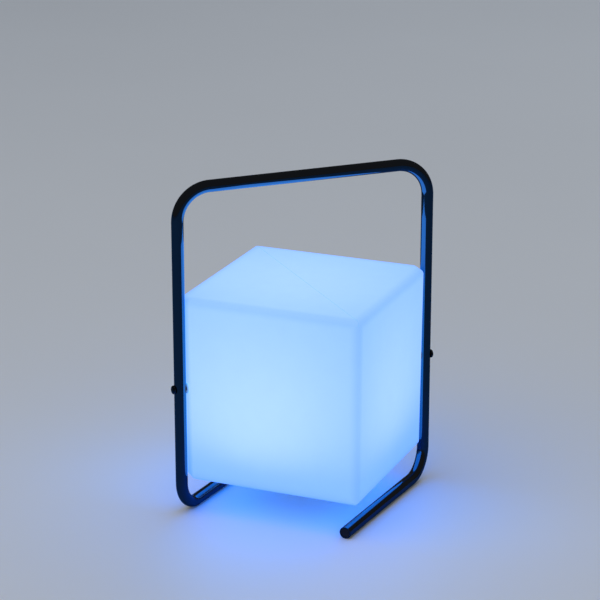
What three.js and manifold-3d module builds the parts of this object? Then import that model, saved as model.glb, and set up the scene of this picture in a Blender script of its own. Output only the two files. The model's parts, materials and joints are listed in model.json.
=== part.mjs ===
// Cube lantern hung between the uprights of a bent tube carrying stand.
// Millimetres, +Z up. The origin is on the floor, under the middle of the stand. X runs along the
// pivot axis from the left upright to the right one, and the cube hangs with its diagonal on that axis.

import * as THREE from 'three';
import { mergeVertices } from 'three/addons/utils/BufferGeometryUtils.js';
import Module from 'manifold-3d';

const wasm = await Module();
wasm.setup();

// ---------------------------------------------------------------- driving dimensions

// Cube shell, slightly narrower at its base so that it leaves its mould.
const cubeWidth = 200;
const cubeHeight = 200;
const cubeWall = 3;
const cubeEdge = 5;
const cubeDraft = 0.015;
const edgeBevelShare = 0.8;
const cubeFlatWidth = 18.8;

// Carrying stand, one length of round tube.
const tubeDiameter = 12.7;
const tubeWall = 1.2;
const standHeight = 363;
const handleBendRadius = 35;
const footBendRadius = 30;
const footReach = 190;
const footAngle = 40;
const cubeLift = 28.9;
const uprightGap = 1.6;
const plugLength = 14;
const plugRecess = 0.3;
const plugChamfer = 0.6;

// Button head screws that carry the cube, and the brass inserts they run into.
const pivotScrewDiameter = 5;
const pivotHeadDiameter = 9.5;
const pivotHeadHeight = 2.75;
const pivotHeadRim = 0.4;
const pivotHeadFlat = 4.6;
const pivotSocketWidth = 3;
const pivotSocketDepth = 1.7;
const pivotScrewChamfer = 0.5;
const insertDiameter = 8;
const insertLength = 9;
const insertBossWall = 3.5;
const pivotWasherDiameter = 11;

// Housing of the lamp module, which closes the pocket in the cube's underside. Its cup is as wide as
// what it holds, and its flange as wide as the seal and the screws that lie side by side in it.
const pocketDepth = 5;
const cupRoom = 6;
const cupWall = 2.4;
const cupHeight = 42;
const flangeThickness = 3.4;
const flangeScrewCount = 4;
const flangeScrewDiameter = 2.9;
const flangeHeadDiameter = 5.8;
const flangeHeadHeight = 1.5;
const flangeScrewLength = 10;
const flangeRimWall = 1.5;
const screwBossWall = 2.3;
const sealMargin = 2;
const sealToScrewWall = 1.25;
const sealWidth = 2;
const sealHeight = 2.2;
const grooveDepth = 1.2;

// Domed lens over the lights.
const lensRise = 14;
const lensWall = 2;
const lensSpigot = 3;
const lensSealHeight = 1;

// Light board with its lights in two rings, and the control board.
const boardThickness = 1.6;
const lightBoardHeight = 36;
const boardScrewCount = 4;
const boardScrewDiameter = 2.2;
const boardHeadDiameter = 4.4;
const boardHeadHeight = 1.3;
const boardScrewLength = 6;
const boardPostWall = 1.7;
const lightRingCounts = [8, 4];
const lightRingSpacing = 16;
const lightToScrewGap = 5.5;
const lightWidth = 5;
const lightHeight = 1.6;
const lightRim = 0.4;
const lightWellDepth = 0.5;
const receiverDiameter = 5;
const receiverHeight = 4;
const controlBoardWidth = 34;
const controlBoardHeight = 8;
const controlBoardEnd = 4;
const controlPostGap = 0.9;
const chipLength = 8;
const chipWidth = 5;
const chipHeight = 1.6;

// Two round cells lying side by side in a cradle.
const cellDiameter = 18.4;
const cellLength = 65;
const cellCapDiameter = 6;
const cellCapHeight = 1.5;
const cellChamfer = 0.6;
const cellSpacing = 1;
const cradleLength = 54;
const cradleWall = 2;
const cradleDepth = 6;
const cradleFoot = 4;
const cradleFootInset = 6;

// Power button and charging socket, either side of the middle of the underside.
const portOffset = 15;
const buttonDiameter = 13;
const buttonChamfer = 0.5;
const buttonFlange = 1.5;
const buttonFlangeThickness = 1.2;
const buttonTravel = 1;
const buttonRecess = 0.8;
const buttonRecessMargin = 2.5;
const switchWidth = 6;
const switchHeight = 1.4;
const plungerDiameter = 3.4;
const socketLength = 9.6;
const socketWidth = 3.9;
const socketWall = 0.4;
const socketTongue = 2;
const portPlugDiameter = 15;
const portPlugThickness = 1.3;

// Clearances between neighbours.
const contactGap = 0.2;
const slideClearance = 0.3;
const screwClearance = 0.3;
const stemClearance = 0.5;
const pocketClearance = 0.6;
const openingClearance = 2;

// How far shapes run into or past each other where they are joined or cut.
const overlap = 1;

// Facets of the round shapes. Eighteen sides set a flat of the tube straight down at both feet.
const tubeSides = 18;
const tubeBoreSides = 12;
const bendSteps = 6;
const crownSteps = 3;
const domeSteps = 4;
const largeSides = 32;
const mediumSides = 18;
const smallSides = 12;

// ---------------------------------------------------------------- sizes that follow

const tubeRadius = tubeDiameter / 2;
const tubeBoreRadius = tubeRadius - tubeWall;
const cubeFlat = (cubeWidth * Math.SQRT2 - cubeFlatWidth) / 2;
const uprightX = cubeFlat + uprightGap + tubeRadius;
const pivotHeight = tubeDiameter + cubeLift + cubeHeight / 2;
const footRadians = THREE.MathUtils.degToRad(footAngle);
const footDirection = new THREE.Vector3(-Math.cos(footRadians), -Math.sin(footRadians), 0);

const insertEnd = cubeFlat - contactGap - insertLength;
const insertBossRadius = insertDiameter / 2 + insertBossWall;
const pivotHeadSeat = uprightX + tubeRadius + contactGap;

// Widths of the lamp module, outwards from the cells and the control board in its cup.
const boardPostRadius = boardScrewDiameter / 2 + screwClearance + boardPostWall;
const controlPostPlace = portOffset + buttonDiameter / 2 + buttonFlange + controlPostGap + boardPostRadius;
const controlBoardLength = 2 * (controlPostPlace + controlBoardEnd);
const cellPitch = cellDiameter + cellSpacing;
const cellReach = Math.hypot(cellLength / 2, (cellPitch + cellDiameter) / 2);
const boardReach = Math.hypot(controlBoardLength / 2, controlBoardWidth / 2);
const cupBore = Math.max(cellReach, boardReach) + cupRoom;
const cupRadius = cupBore + cupWall;
const openingRadius = cupRadius + openingClearance;
const sealInner = openingRadius + sealMargin;
const sealOuter = sealInner + sealWidth;
const flangeHoleRadius = flangeScrewDiameter / 2 + screwClearance;
const flangeScrewRadius = sealOuter + sealToScrewWall + flangeHoleRadius;
const flangeBossRadius = flangeHoleRadius + screwBossWall;
const flangeRadius = flangeScrewRadius + flangeHeadDiameter / 2 + flangeRimWall;
const pocketRadius = flangeRadius + pocketClearance;

// Heights of the lamp module, upwards from the cube's underside.
const landTop = pocketDepth + cubeWall;
const flangeTop = contactGap + flangeThickness;
const flangeScrewSeat = 2 * contactGap + flangeHeadHeight;
const flangeScrewTip = flangeScrewSeat + flangeScrewLength;
const coverBottom = 2 * contactGap;
const lensSealBottom = cupHeight + contactGap;
const lensBottom = lensSealBottom + lensSealHeight + contactGap;
const lightBoardTop = lightBoardHeight + boardThickness;
const lightBoardRadius = cupBore - 2 * slideClearance;
const lightPostRadius = lightBoardRadius - boardPostRadius - boardPostWall;
const lightRingRadius = lightPostRadius - boardHeadDiameter / 2 - lightToScrewGap - lightWidth / 2;
const controlBoardTop = controlBoardHeight + boardThickness;
const controlPartsTop = controlBoardHeight - contactGap;
const cradleBottom = controlBoardTop + boardHeadHeight + 2 * contactGap;
const cellHeight = cradleBottom + cradleWall + slideClearance + cellDiameter / 2;
const buttonTop = flangeTop + contactGap + buttonFlangeThickness;
const switchBottom = controlPartsTop - switchHeight;

// ---------------------------------------------------------------- finishes

const finishes = {
  darkChrome: { color: 0x2a2d33, roughness: 0.12, metalness: 1 },
  blackPlastic: { color: 0x17181a, roughness: 0.45, metalness: 0 },
  darkSteel: { color: 0x3a3d42, roughness: 0.25, metalness: 1 },
  glowingShell: { color: 0xcfe8ff, roughness: 0.5, metalness: 0 },
  brass: { color: 0xb98f45, roughness: 0.35, metalness: 1 },
  nylon: { color: 0xe4e6e4, roughness: 0.5, metalness: 0 },
  whitePlastic: { color: 0xe9eaec, roughness: 0.45, metalness: 0 },
  sealRubber: { color: 0xb9bdc2, roughness: 0.8, metalness: 0 },
  opalLens: { color: 0xeef4fa, roughness: 0.2, metalness: 0 },
  whiteBoard: { color: 0xf2f2ee, roughness: 0.4, metalness: 0 },
  greenBoard: { color: 0x1d5b34, roughness: 0.4, metalness: 0 },
  lampPackage: { color: 0xf6f3d8, roughness: 0.35, metalness: 0 },
  cellWrap: { color: 0x2c6fb0, roughness: 0.35, metalness: 0 },
  chipBlack: { color: 0x141414, roughness: 0.5, metalness: 0 },
  platedSteel: { color: 0xb4b8bc, roughness: 0.3, metalness: 1 },
  buttonRubber: { color: 0x8d949c, roughness: 0.7, metalness: 0 },
};

// ---------------------------------------------------------------- building blocks

function toSolid(geometry) {
  const bare = geometry.clone();
  bare.deleteAttribute('normal');
  bare.deleteAttribute('uv');
  const merged = mergeVertices(bare, 1e-4);
  const triangles = [];
  for (let first = 0; first < merged.index.count; first += 3) {
    const [a, b, c] = [0, 1, 2].map((offset) => merged.index.getX(first + offset));
    if (a !== b && b !== c && c !== a) triangles.push(a, b, c);
  }
  return new wasm.Manifold(new wasm.Mesh({
    numProp: 3,
    vertProperties: Float32Array.from(merged.attributes.position.array),
    triVerts: Uint32Array.from(triangles),
  }));
}

function toGeometry(solid) {
  const mesh = solid.getMesh();
  const geometry = new THREE.BufferGeometry();
  geometry.setAttribute('position', new THREE.BufferAttribute(mesh.vertProperties, 3));
  geometry.setIndex(new THREE.BufferAttribute(mesh.triVerts, 1));
  geometry.computeVertexNormals();
  return geometry;
}

function joined(base, additions) {
  return toGeometry(additions.reduce((solid, addition) => solid.add(toSolid(addition)), toSolid(base)));
}

function cutBy(base, cutters) {
  return toGeometry(cutters.reduce((solid, cutter) => solid.subtract(toSolid(cutter)), toSolid(base)));
}

// A round bar along Z between two heights.
function barZ(radius, from, to, sides = mediumSides) {
  const bar = new THREE.CylinderGeometry(radius, radius, to - from, sides);
  return bar.rotateX(Math.PI / 2).translate(0, 0, (from + to) / 2);
}

// A round bar along X between two places.
function barX(radius, from, to, sides = mediumSides) {
  const bar = new THREE.CylinderGeometry(radius, radius, to - from, sides);
  return bar.rotateZ(Math.PI / 2).translate((from + to) / 2, 0, 0);
}

function block(length, width, from, to) {
  return new THREE.BoxGeometry(length, width, to - from).translate(0, 0, (from + to) / 2);
}

// A turned solid about Z. Its [radius, height] points start and end on the axis, or close on themselves.
function turned(points, sides = largeSides) {
  const profile = points.map(([radius, height]) => new THREE.Vector2(radius, height));
  return new THREE.LatheGeometry(profile, sides).rotateX(Math.PI / 2);
}

// A turned ring about Z with a rectangular section.
function ring(innerRadius, outerRadius, from, to, sides = largeSides) {
  return turned([
    [innerRadius, from],
    [outerRadius, from],
    [outerRadius, to],
    [innerRadius, to],
    [innerRadius, from],
  ], sides);
}

// Places spread evenly round a circle in the XY plane.
function circlePlaces(count, radius, startDegrees) {
  return Array.from({ length: count }, (_, index) => {
    const angle = THREE.MathUtils.degToRad(startDegrees + (index * 360) / count);
    return [radius * Math.cos(angle), radius * Math.sin(angle)];
  });
}

function copies(places, makeShape) {
  return places.map(([x, y]) => makeShape().translate(x, y, 0));
}

// Adds a named piece in its finish to a group.
function part(name, geometry, look, parent) {
  const mesh = new THREE.Mesh(geometry, new THREE.MeshStandardMaterial(look));
  mesh.name = name;
  parent.add(mesh);
  return mesh;
}

const flangeScrewPlaces = circlePlaces(flangeScrewCount, flangeScrewRadius, 45);
const lightPostPlaces = circlePlaces(boardScrewCount, lightPostRadius, 45);
const controlPostPlaces = [[-controlPostPlace, 0], [controlPostPlace, 0]];

// ---------------------------------------------------------------- carrying stand

// A path of straight runs and right-angle bends, with a station wherever its direction changes.
class BentTubePath extends THREE.Curve {
  constructor(corners, radii) {
    super();
    const runs = corners.slice(1).map((corner, index) => corner.clone().sub(corners[index]).normalize());
    this.stations = [{ point: corners[0], tangent: runs[0] }];
    radii.forEach((radius, index) => this.addBend(corners[index + 1], runs[index], runs[index + 1], radius));
    this.stations.push({ point: corners.at(-1), tangent: runs.at(-1) });
    this.steps = this.stations.length - 1;
  }

  addBend(corner, incoming, outgoing, radius) {
    const centre = corner.clone().addScaledVector(incoming, -radius).addScaledVector(outgoing, radius);
    for (let step = 0; step <= bendSteps; step += 1) {
      const angle = (step / bendSteps) * (Math.PI / 2);
      const [sine, cosine] = [Math.sin(angle), Math.cos(angle)];
      const point = centre.clone().addScaledVector(incoming, radius * sine);
      point.addScaledVector(outgoing, -radius * cosine);
      const tangent = incoming.clone().multiplyScalar(cosine).addScaledVector(outgoing, sine);
      this.stations.push({ point, tangent });
    }
  }

  getPointAt(position, target = new THREE.Vector3()) {
    return target.copy(this.stations[Math.round(position * this.steps)].point);
  }

  getTangentAt(position, target = new THREE.Vector3()) {
    return target.copy(this.stations[Math.round(position * this.steps)].tangent);
  }
}

// A regular outline whose flats lie at the given radius, with one flat facing along +X.
function regularOutline(flatRadius, sides) {
  const cornerRadius = flatRadius / Math.cos(Math.PI / sides);
  return Array.from({ length: sides }, (_, index) => {
    const angle = ((index + 0.5) * 2 * Math.PI) / sides;
    return new THREE.Vector2(cornerRadius * Math.cos(angle), cornerRadius * Math.sin(angle));
  });
}

// Right foot, right upright, handle, left upright and left foot, with a pivot hole in each upright.
function carryFrame() {
  const handleHeight = standHeight - tubeRadius;
  const rightCorner = new THREE.Vector3(uprightX, 0, tubeRadius);
  const leftCorner = new THREE.Vector3(-uprightX, 0, tubeRadius);
  const path = new BentTubePath(
    [
      rightCorner.clone().addScaledVector(footDirection, footReach),
      rightCorner,
      new THREE.Vector3(uprightX, 0, handleHeight),
      new THREE.Vector3(-uprightX, 0, handleHeight),
      leftCorner,
      leftCorner.clone().addScaledVector(footDirection, -footReach),
    ],
    [footBendRadius, handleBendRadius, handleBendRadius, footBendRadius],
  );
  const section = new THREE.Shape(regularOutline(tubeRadius, tubeSides));
  section.holes.push(new THREE.Path(regularOutline(tubeBoreRadius, tubeBoreSides)));
  const tube = new THREE.ExtrudeGeometry(section, { steps: path.steps, extrudePath: path });
  const holeRadius = pivotScrewDiameter / 2 + screwClearance;
  const reach = uprightX + tubeDiameter;
  return cutBy(tube, [barX(holeRadius, -reach, reach, smallSides).translate(0, 0, pivotHeight)]);
}

// An end plug along +Z, inside the tube: its outer face at zero, and both its rims chamfered.
function footPlug() {
  const plugRadius = tubeBoreRadius - slideClearance;
  return turned([
    [0, 0],
    [plugRadius - plugChamfer, 0],
    [plugRadius, plugChamfer],
    [plugRadius, plugLength - plugChamfer],
    [plugRadius - plugChamfer, plugLength],
    [0, plugLength],
  ], mediumSides);
}

function addStand(parent) {
  part('carry_frame', carryFrame(), finishes.darkChrome, parent);
  for (const [side, sign] of [['right', 1], ['left', -1]]) {
    const plug = part(`foot_plug_${side}`, footPlug(), finishes.blackPlastic, parent);
    const inward = footDirection.clone().multiplyScalar(-sign);
    plug.quaternion.setFromUnitVectors(new THREE.Vector3(0, 0, 1), inward);
    plug.position.set(sign * uprightX, 0, tubeRadius).addScaledVector(inward, plugRecess - footReach);
  }
}

// ---------------------------------------------------------------- cube shell

// The cube seen from above, with its sides moved inwards by the inset: a square standing on its
// corner, whose left and right corners are cut flat to face the uprights.
function cubeOutline(inset, cornerRadius) {
  const tip = (cubeWidth / 2 - inset) * Math.SQRT2;
  const flat = cubeFlat - inset;
  const tipCentre = tip - cornerRadius * Math.SQRT2;
  const flatCentre = flat - cornerRadius;
  const flatRise = tip - flat - cornerRadius * Math.tan(Math.PI / 8);
  const eighth = Math.PI / 4;
  const outline = new THREE.Shape();
  outline.absarc(0, -tipCentre, cornerRadius, -3 * eighth, -eighth);
  outline.absarc(flatCentre, -flatRise, cornerRadius, -eighth, 0);
  outline.absarc(flatCentre, flatRise, cornerRadius, 0, eighth);
  outline.absarc(0, tipCentre, cornerRadius, eighth, 3 * eighth);
  outline.absarc(-flatCentre, flatRise, cornerRadius, 3 * eighth, 4 * eighth);
  outline.absarc(-flatCentre, -flatRise, cornerRadius, 4 * eighth, 5 * eighth);
  return outline;
}

// A block with rounded edges, centred on the pivot, with its sides an inset inside the cube's outer
// faces. Most of each edge's radius is the bevel's, and the outline's corners have the rest.
function taperedBlock(inset) {
  const edge = cubeEdge - inset;
  const bevel = edgeBevelShare * edge;
  const height = cubeHeight - 2 * inset;
  const solid = new THREE.ExtrudeGeometry(cubeOutline(inset + bevel, edge - bevel), {
    depth: height - 2 * bevel,
    bevelThickness: bevel,
    bevelSize: bevel,
    bevelSegments: 3,
    curveSegments: 2,
  });
  solid.translate(0, 0, bevel - height / 2);
  const places = solid.attributes.position;
  for (let index = 0; index < places.count; index += 1) {
    const spread = 1 + (cubeDraft * places.getZ(index)) / cubeHeight;
    places.setX(index, places.getX(index) * spread);
    places.setY(index, places.getY(index) * spread);
  }
  return solid;
}

function cubeShell() {
  const underside = -cubeHeight / 2;
  const low = (shape) => shape.translate(0, 0, underside);
  const hollow = cutBy(taperedBlock(0), [taperedBlock(cubeWall)]);
  const bosses = [-1, 1].map((sign) => {
    const ends = [sign * (insertEnd - insertBossWall), sign * (cubeFlat - cubeWall / 2)];
    return barX(insertBossRadius, Math.min(...ends), Math.max(...ends));
  });
  const solid = joined(hollow, [
    low(barZ(pocketRadius + cubeWall, cubeWall / 2, landTop, largeSides)),
    ...copies(flangeScrewPlaces, () => low(barZ(flangeBossRadius, landTop - cubeWall / 2,
      flangeScrewTip + screwBossWall, smallSides))),
    ...bosses,
  ]);
  const boreRadius = insertDiameter / 2 + contactGap;
  return cutBy(solid, [
    low(barZ(pocketRadius, -pocketDepth, pocketDepth, largeSides)),
    low(barZ(openingRadius, 0, landTop + cubeWall, largeSides)),
    ...copies(flangeScrewPlaces, () => low(barZ(flangeHoleRadius, 0, flangeScrewTip + contactGap,
      smallSides))),
    barX(boreRadius, insertEnd - contactGap, uprightX),
    barX(boreRadius, -uprightX, contactGap - insertEnd),
  ]);
}

// ---------------------------------------------------------------- pivot hardware

// These pieces are built on the right side, along +X, and turned half round for the left side.
function pivotInsert() {
  const sleeve = barX(insertDiameter / 2, insertEnd, cubeFlat - contactGap);
  return cutBy(sleeve, [barX(pivotScrewDiameter / 2 + screwClearance, 0, uprightX, smallSides)]);
}

function pivotWasher() {
  const washer = barX(pivotWasherDiameter / 2, cubeFlat + contactGap, uprightX - tubeRadius - contactGap);
  return cutBy(washer, [barX(pivotScrewDiameter / 2 + screwClearance, 0, uprightX, smallSides)]);
}

function pivotScrew() {
  const shank = pivotScrewDiameter / 2;
  const head = pivotHeadDiameter / 2;
  const length = pivotHeadSeat - insertEnd - contactGap;
  const flat = pivotHeadFlat / 2;
  const crown = Array.from({ length: crownSteps + 1 }, (_, index) => {
    const angle = (index / crownSteps) * (Math.PI / 2);
    const height = pivotHeadRim + (pivotHeadHeight - pivotHeadRim) * Math.sin(angle);
    return [flat + (head - flat) * Math.cos(angle), height];
  });
  const screw = turned([
    [0, -length],
    [shank - pivotScrewChamfer, -length],
    [shank, pivotScrewChamfer - length],
    [shank, 0],
    [head, 0],
    ...crown,
    [0, pivotHeadHeight],
  ], mediumSides);
  const socketBottom = pivotHeadHeight - pivotSocketDepth;
  const socket = barZ(pivotSocketWidth / Math.sqrt(3), socketBottom, pivotHeadHeight + overlap, 6);
  return cutBy(screw, [socket]).rotateY(Math.PI / 2).translate(pivotHeadSeat, 0, 0);
}

function addPivots(parent) {
  const pieces = [
    ['pivot_insert', pivotInsert, finishes.brass],
    ['pivot_washer', pivotWasher, finishes.nylon],
    ['pivot_screw', pivotScrew, finishes.darkSteel],
  ];
  for (const [side, turn] of [['right', 0], ['left', Math.PI]]) {
    for (const [name, build, look] of pieces) {
      part(`${name}_${side}`, build(), look, parent).rotation.z = turn;
    }
  }
}

// ---------------------------------------------------------------- lamp module

// A screw along Z with its head's seat at zero and its shank downwards. Its head narrows to the top.
function capScrew(headDiameter, headHeight, shankDiameter, length) {
  const head = headDiameter / 2;
  const shank = shankDiameter / 2;
  const topShare = 0.8;
  return turned([
    [0, -length],
    [shank, -length],
    [shank, 0],
    [head, 0],
    [head, headHeight / 2],
    [head * topShare, headHeight],
    [0, headHeight],
  ], smallSides);
}

function moduleHousing() {
  const grooveInner = sealInner - contactGap;
  const grooveOuter = sealOuter + contactGap;
  const cup = turned([
    [0, contactGap],
    [flangeRadius, contactGap],
    [flangeRadius, flangeTop],
    [grooveOuter, flangeTop],
    [grooveOuter, flangeTop - grooveDepth],
    [grooveInner, flangeTop - grooveDepth],
    [grooveInner, flangeTop],
    [cupRadius, flangeTop],
    [cupRadius, cupHeight],
    [cupBore, cupHeight],
    [cupBore, flangeTop],
    [0, flangeTop],
  ]);
  const post = (top) => barZ(boardPostRadius, flangeTop - overlap, top - contactGap, smallSides);
  const posts = [
    ...copies(lightPostPlaces, () => post(lightBoardHeight)),
    ...copies(controlPostPlaces, () => post(controlBoardHeight)),
  ];
  const pilotRadius = boardScrewDiameter / 2 + screwClearance;
  const pilot = (bottom, top) => barZ(pilotRadius, bottom, top, smallSides);
  const headBore = flangeHeadDiameter / 2 + screwClearance;
  const buttonBore = buttonDiameter / 2 + slideClearance;
  const plugBore = portPlugDiameter / 2 + slideClearance;
  const below = -overlap;
  const through = flangeTop + overlap;
  const atButton = (shape) => shape.translate(portOffset, 0, 0);
  const atSocket = (shape) => shape.translate(-portOffset, 0, 0);
  return cutBy(joined(cup, posts), [
    ...copies(lightPostPlaces, () => pilot(lightBoardHeight - boardScrewLength, lightBoardHeight)),
    ...copies(controlPostPlaces, () => pilot(flangeTop, controlBoardHeight)),
    ...copies(flangeScrewPlaces, () => barZ(flangeHoleRadius, below, through, smallSides)),
    ...copies(flangeScrewPlaces, () => barZ(headBore, below, flangeScrewSeat + contactGap, smallSides)),
    atButton(barZ(buttonBore, below, through)),
    atButton(barZ(buttonBore + buttonRecessMargin, below, contactGap + buttonRecess)),
    atSocket(block(socketWidth, socketLength, below, through)),
    atSocket(barZ(plugBore, below, coverBottom + portPlugThickness + contactGap)),
  ]);
}

function flangeScrew() {
  const screw = capScrew(flangeHeadDiameter, flangeHeadHeight, flangeScrewDiameter, flangeScrewLength);
  return screw.rotateX(Math.PI).translate(0, 0, flangeScrewSeat);
}

// The lens: a flat rim on the cup, a spigot inside it, and a dome with an even wall.
function lampLens() {
  const rimTop = lensBottom + lensWall;
  const spigotRadius = cupBore - slideClearance;
  const domeRadius = spigotRadius - lensWall;
  const dome = (base, rise, radius) => Array.from({ length: domeSteps + 1 }, (_, index) => {
    const share = index / domeSteps;
    return [radius * share, base + rise * (1 - share * share)];
  });
  return turned([
    ...dome(lensBottom, lensRise, domeRadius),
    [domeRadius, lensBottom - lensSpigot],
    [spigotRadius, lensBottom - lensSpigot],
    [spigotRadius, lensBottom],
    [cupRadius, lensBottom],
    [cupRadius, rimTop],
    ...dome(rimTop, lensRise, spigotRadius).reverse(),
  ]);
}

function lightBoard() {
  const board = barZ(lightBoardRadius, lightBoardHeight, lightBoardTop, largeSides);
  const holeRadius = boardScrewDiameter / 2 + screwClearance;
  return cutBy(board, copies(lightPostPlaces, () => barZ(holeRadius, 0, cupHeight, smallSides)));
}

function boardScrew(boardTop) {
  const screw = capScrew(boardHeadDiameter, boardHeadHeight, boardScrewDiameter,
    boardScrewLength - contactGap);
  return screw.translate(0, 0, boardTop + contactGap);
}

function lightChip() {
  const bottom = lightBoardTop + contactGap;
  const chip = block(lightWidth, lightWidth, bottom, bottom + lightHeight);
  const well = barZ(lightWidth / 2 - lightRim, bottom + lightHeight - lightWellDepth, cupHeight, smallSides);
  return cutBy(chip, [well]);
}

function remoteReceiver() {
  const bottom = lightBoardTop + contactGap;
  const radius = receiverDiameter / 2;
  const shoulder = bottom + receiverHeight - radius;
  return turned([
    [0, bottom],
    [radius, bottom],
    [radius, shoulder],
    [radius * Math.SQRT1_2, shoulder + radius * Math.SQRT1_2],
    [0, shoulder + radius],
  ], smallSides);
}

function addLights(parent) {
  part('light_board', lightBoard(), finishes.whiteBoard, parent);
  lightPostPlaces.forEach(([x, y], index) => {
    part(`light_board_screw_${index + 1}`, boardScrew(lightBoardTop), finishes.platedSteel, parent)
      .position.set(x, y, 0);
  });
  let number = 0;
  lightRingCounts.forEach((count, ringIndex) => {
    for (const [x, y] of circlePlaces(count, lightRingRadius - ringIndex * lightRingSpacing, 0)) {
      number += 1;
      const chip = part(`light_chip_${number}`, lightChip(), finishes.lampPackage, parent);
      chip.position.set(x, y, 0);
      chip.rotation.z = Math.atan2(y, x);
    }
  });
  part('remote_receiver', remoteReceiver(), finishes.chipBlack, parent);
}

function controlBoard() {
  const board = block(controlBoardLength, controlBoardWidth, controlBoardHeight, controlBoardTop);
  const holeRadius = boardScrewDiameter / 2 + screwClearance;
  return cutBy(board, copies(controlPostPlaces, () => barZ(holeRadius, 0, cupHeight, smallSides)));
}

// The control board's screws end just above the housing's floor, where their posts start.
function controlScrew() {
  const length = controlBoardTop - flangeTop - contactGap;
  const screw = capScrew(boardHeadDiameter, boardHeadHeight, boardScrewDiameter, length);
  return screw.translate(0, 0, controlBoardTop + contactGap);
}

function powerSwitch() {
  const body = block(switchWidth, switchWidth, switchBottom, switchBottom + switchHeight);
  return cutBy(body, [barZ(plungerDiameter / 2 + slideClearance, 0, cupHeight, smallSides)]);
}

// The charging socket opens downwards and holds a contact tongue under its closed end.
function chargeSocket() {
  const top = controlPartsTop;
  const shell = block(socketWidth, socketLength, flangeTop + contactGap, top);
  const mouth = block(socketWidth - 2 * socketWall, socketLength - 2 * socketWall, 0, top - 2 * socketWall);
  const tongue = block(socketWall, socketLength / 2, top - socketTongue, top - socketWall);
  return joined(cutBy(shell, [mouth]), [tongue]);
}

function controlChip() {
  return block(chipLength, chipWidth, controlPartsTop - chipHeight, controlPartsTop);
}

function addControls(parent) {
  part('control_board', controlBoard(), finishes.greenBoard, parent);
  controlPostPlaces.forEach(([x, y], index) => {
    part(`control_board_screw_${index + 1}`, controlScrew(), finishes.platedSteel, parent)
      .position.set(x, y, 0);
  });
  part('power_switch', powerSwitch(), finishes.chipBlack, parent).position.x = portOffset;
  part('charge_socket', chargeSocket(), finishes.platedSteel, parent).position.x = -portOffset;
  part('control_chip', controlChip(), finishes.chipBlack, parent).position.y = controlBoardWidth / 4;
}

function cellCradle() {
  const width = cellPitch + cellDiameter + 2 * (cradleWall + slideClearance);
  const trough = () => barX(cellDiameter / 2 + slideClearance, -cellLength, cellLength);
  const tray = block(cradleLength, width, cradleBottom, cradleBottom + cradleDepth);
  const footX = cradleLength / 2 - cradleFootInset;
  const footY = controlBoardWidth / 2 - cradleFootInset;
  const feet = [-1, 1].flatMap((alongX) => [-1, 1].map((alongY) => {
    const foot = block(cradleFoot, cradleFoot, controlBoardTop + contactGap, cradleBottom + cradleWall / 2);
    return foot.translate(alongX * footX, alongY * footY, 0);
  }));
  return cutBy(joined(tray, feet), [-1, 1].map((sign) => (
    trough().translate(0, sign * cellPitch / 2, cellHeight)
  )));
}

function batteryCell() {
  const radius = cellDiameter / 2;
  const cap = cellCapDiameter / 2;
  const canLength = cellLength - cellCapHeight;
  const cell = turned([
    [0, 0],
    [radius - cellChamfer, 0],
    [radius, cellChamfer],
    [radius, canLength - cellChamfer],
    [radius - cellChamfer, canLength],
    [cap, canLength],
    [cap, cellLength],
    [0, cellLength],
  ], mediumSides);
  return cell.translate(0, 0, -cellLength / 2).rotateY(Math.PI / 2);
}

function addCells(parent) {
  part('cell_cradle', cellCradle(), finishes.blackPlastic, parent);
  [-1, 1].forEach((sign, index) => {
    const cell = part(`battery_cell_${index + 1}`, batteryCell(), finishes.cellWrap, parent);
    cell.position.set(0, sign * cellPitch / 2, cellHeight);
    cell.rotation.z = index * Math.PI;
  });
}

// The button hangs on its inner flange, and pushes the switch's plunger up by its travel.
function powerButton() {
  const radius = buttonDiameter / 2;
  return turned([
    [0, coverBottom],
    [radius - buttonChamfer, coverBottom],
    [radius, coverBottom + buttonChamfer],
    [radius, flangeTop + contactGap],
    [radius + buttonFlange, flangeTop + contactGap],
    [radius + buttonFlange, buttonTop],
    [0, buttonTop],
  ], mediumSides);
}

function switchPlunger() {
  return barZ(plungerDiameter / 2, buttonTop + contactGap, controlPartsTop - buttonTravel, smallSides);
}

// The rubber plug sits flush in the underside, and its stem fills the socket's mouth.
function chargePortPlug() {
  const seat = coverBottom + portPlugThickness;
  const cap = barZ(portPlugDiameter / 2, coverBottom, seat);
  const margin = 2 * (socketWall + slideClearance);
  const stemEnd = controlPartsTop - socketTongue - stemClearance;
  return joined(cap, [block(socketWidth - margin, socketLength - margin, seat - overlap, stemEnd)]);
}

function addLampModule(parent) {
  part('module_housing', moduleHousing(), finishes.whitePlastic, parent);
  const sealBottom = flangeTop - grooveDepth + contactGap;
  part('module_seal', ring(sealInner, sealOuter, sealBottom, sealBottom + sealHeight), finishes.sealRubber,
    parent);
  flangeScrewPlaces.forEach(([x, y], index) => {
    part(`flange_screw_${index + 1}`, flangeScrew(), finishes.platedSteel, parent).position.set(x, y, 0);
  });
  part('lens_seal', ring(cupBore + contactGap, cupRadius - contactGap, lensSealBottom,
    lensSealBottom + lensSealHeight), finishes.sealRubber, parent);
  part('lamp_lens', lampLens(), finishes.opalLens, parent);
  addLights(parent);
  addControls(parent);
  addCells(parent);
  part('power_button', powerButton(), finishes.buttonRubber, parent).position.x = portOffset;
  part('switch_plunger', switchPlunger(), finishes.chipBlack, parent).position.x = portOffset;
  part('charge_port_plug', chargePortPlug(), finishes.buttonRubber, parent).position.x = -portOffset;
}

// ---------------------------------------------------------------- whole lantern

const model = new THREE.Group();
addStand(model);

const lantern = new THREE.Group();
lantern.position.z = pivotHeight;
model.add(lantern);
part('cube_shell', cubeShell(), finishes.glowingShell, lantern);
addPivots(lantern);

const lampModule = new THREE.Group();
lampModule.position.z = -cubeHeight / 2;
lantern.add(lampModule);
addLampModule(lampModule);

export default model;
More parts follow.
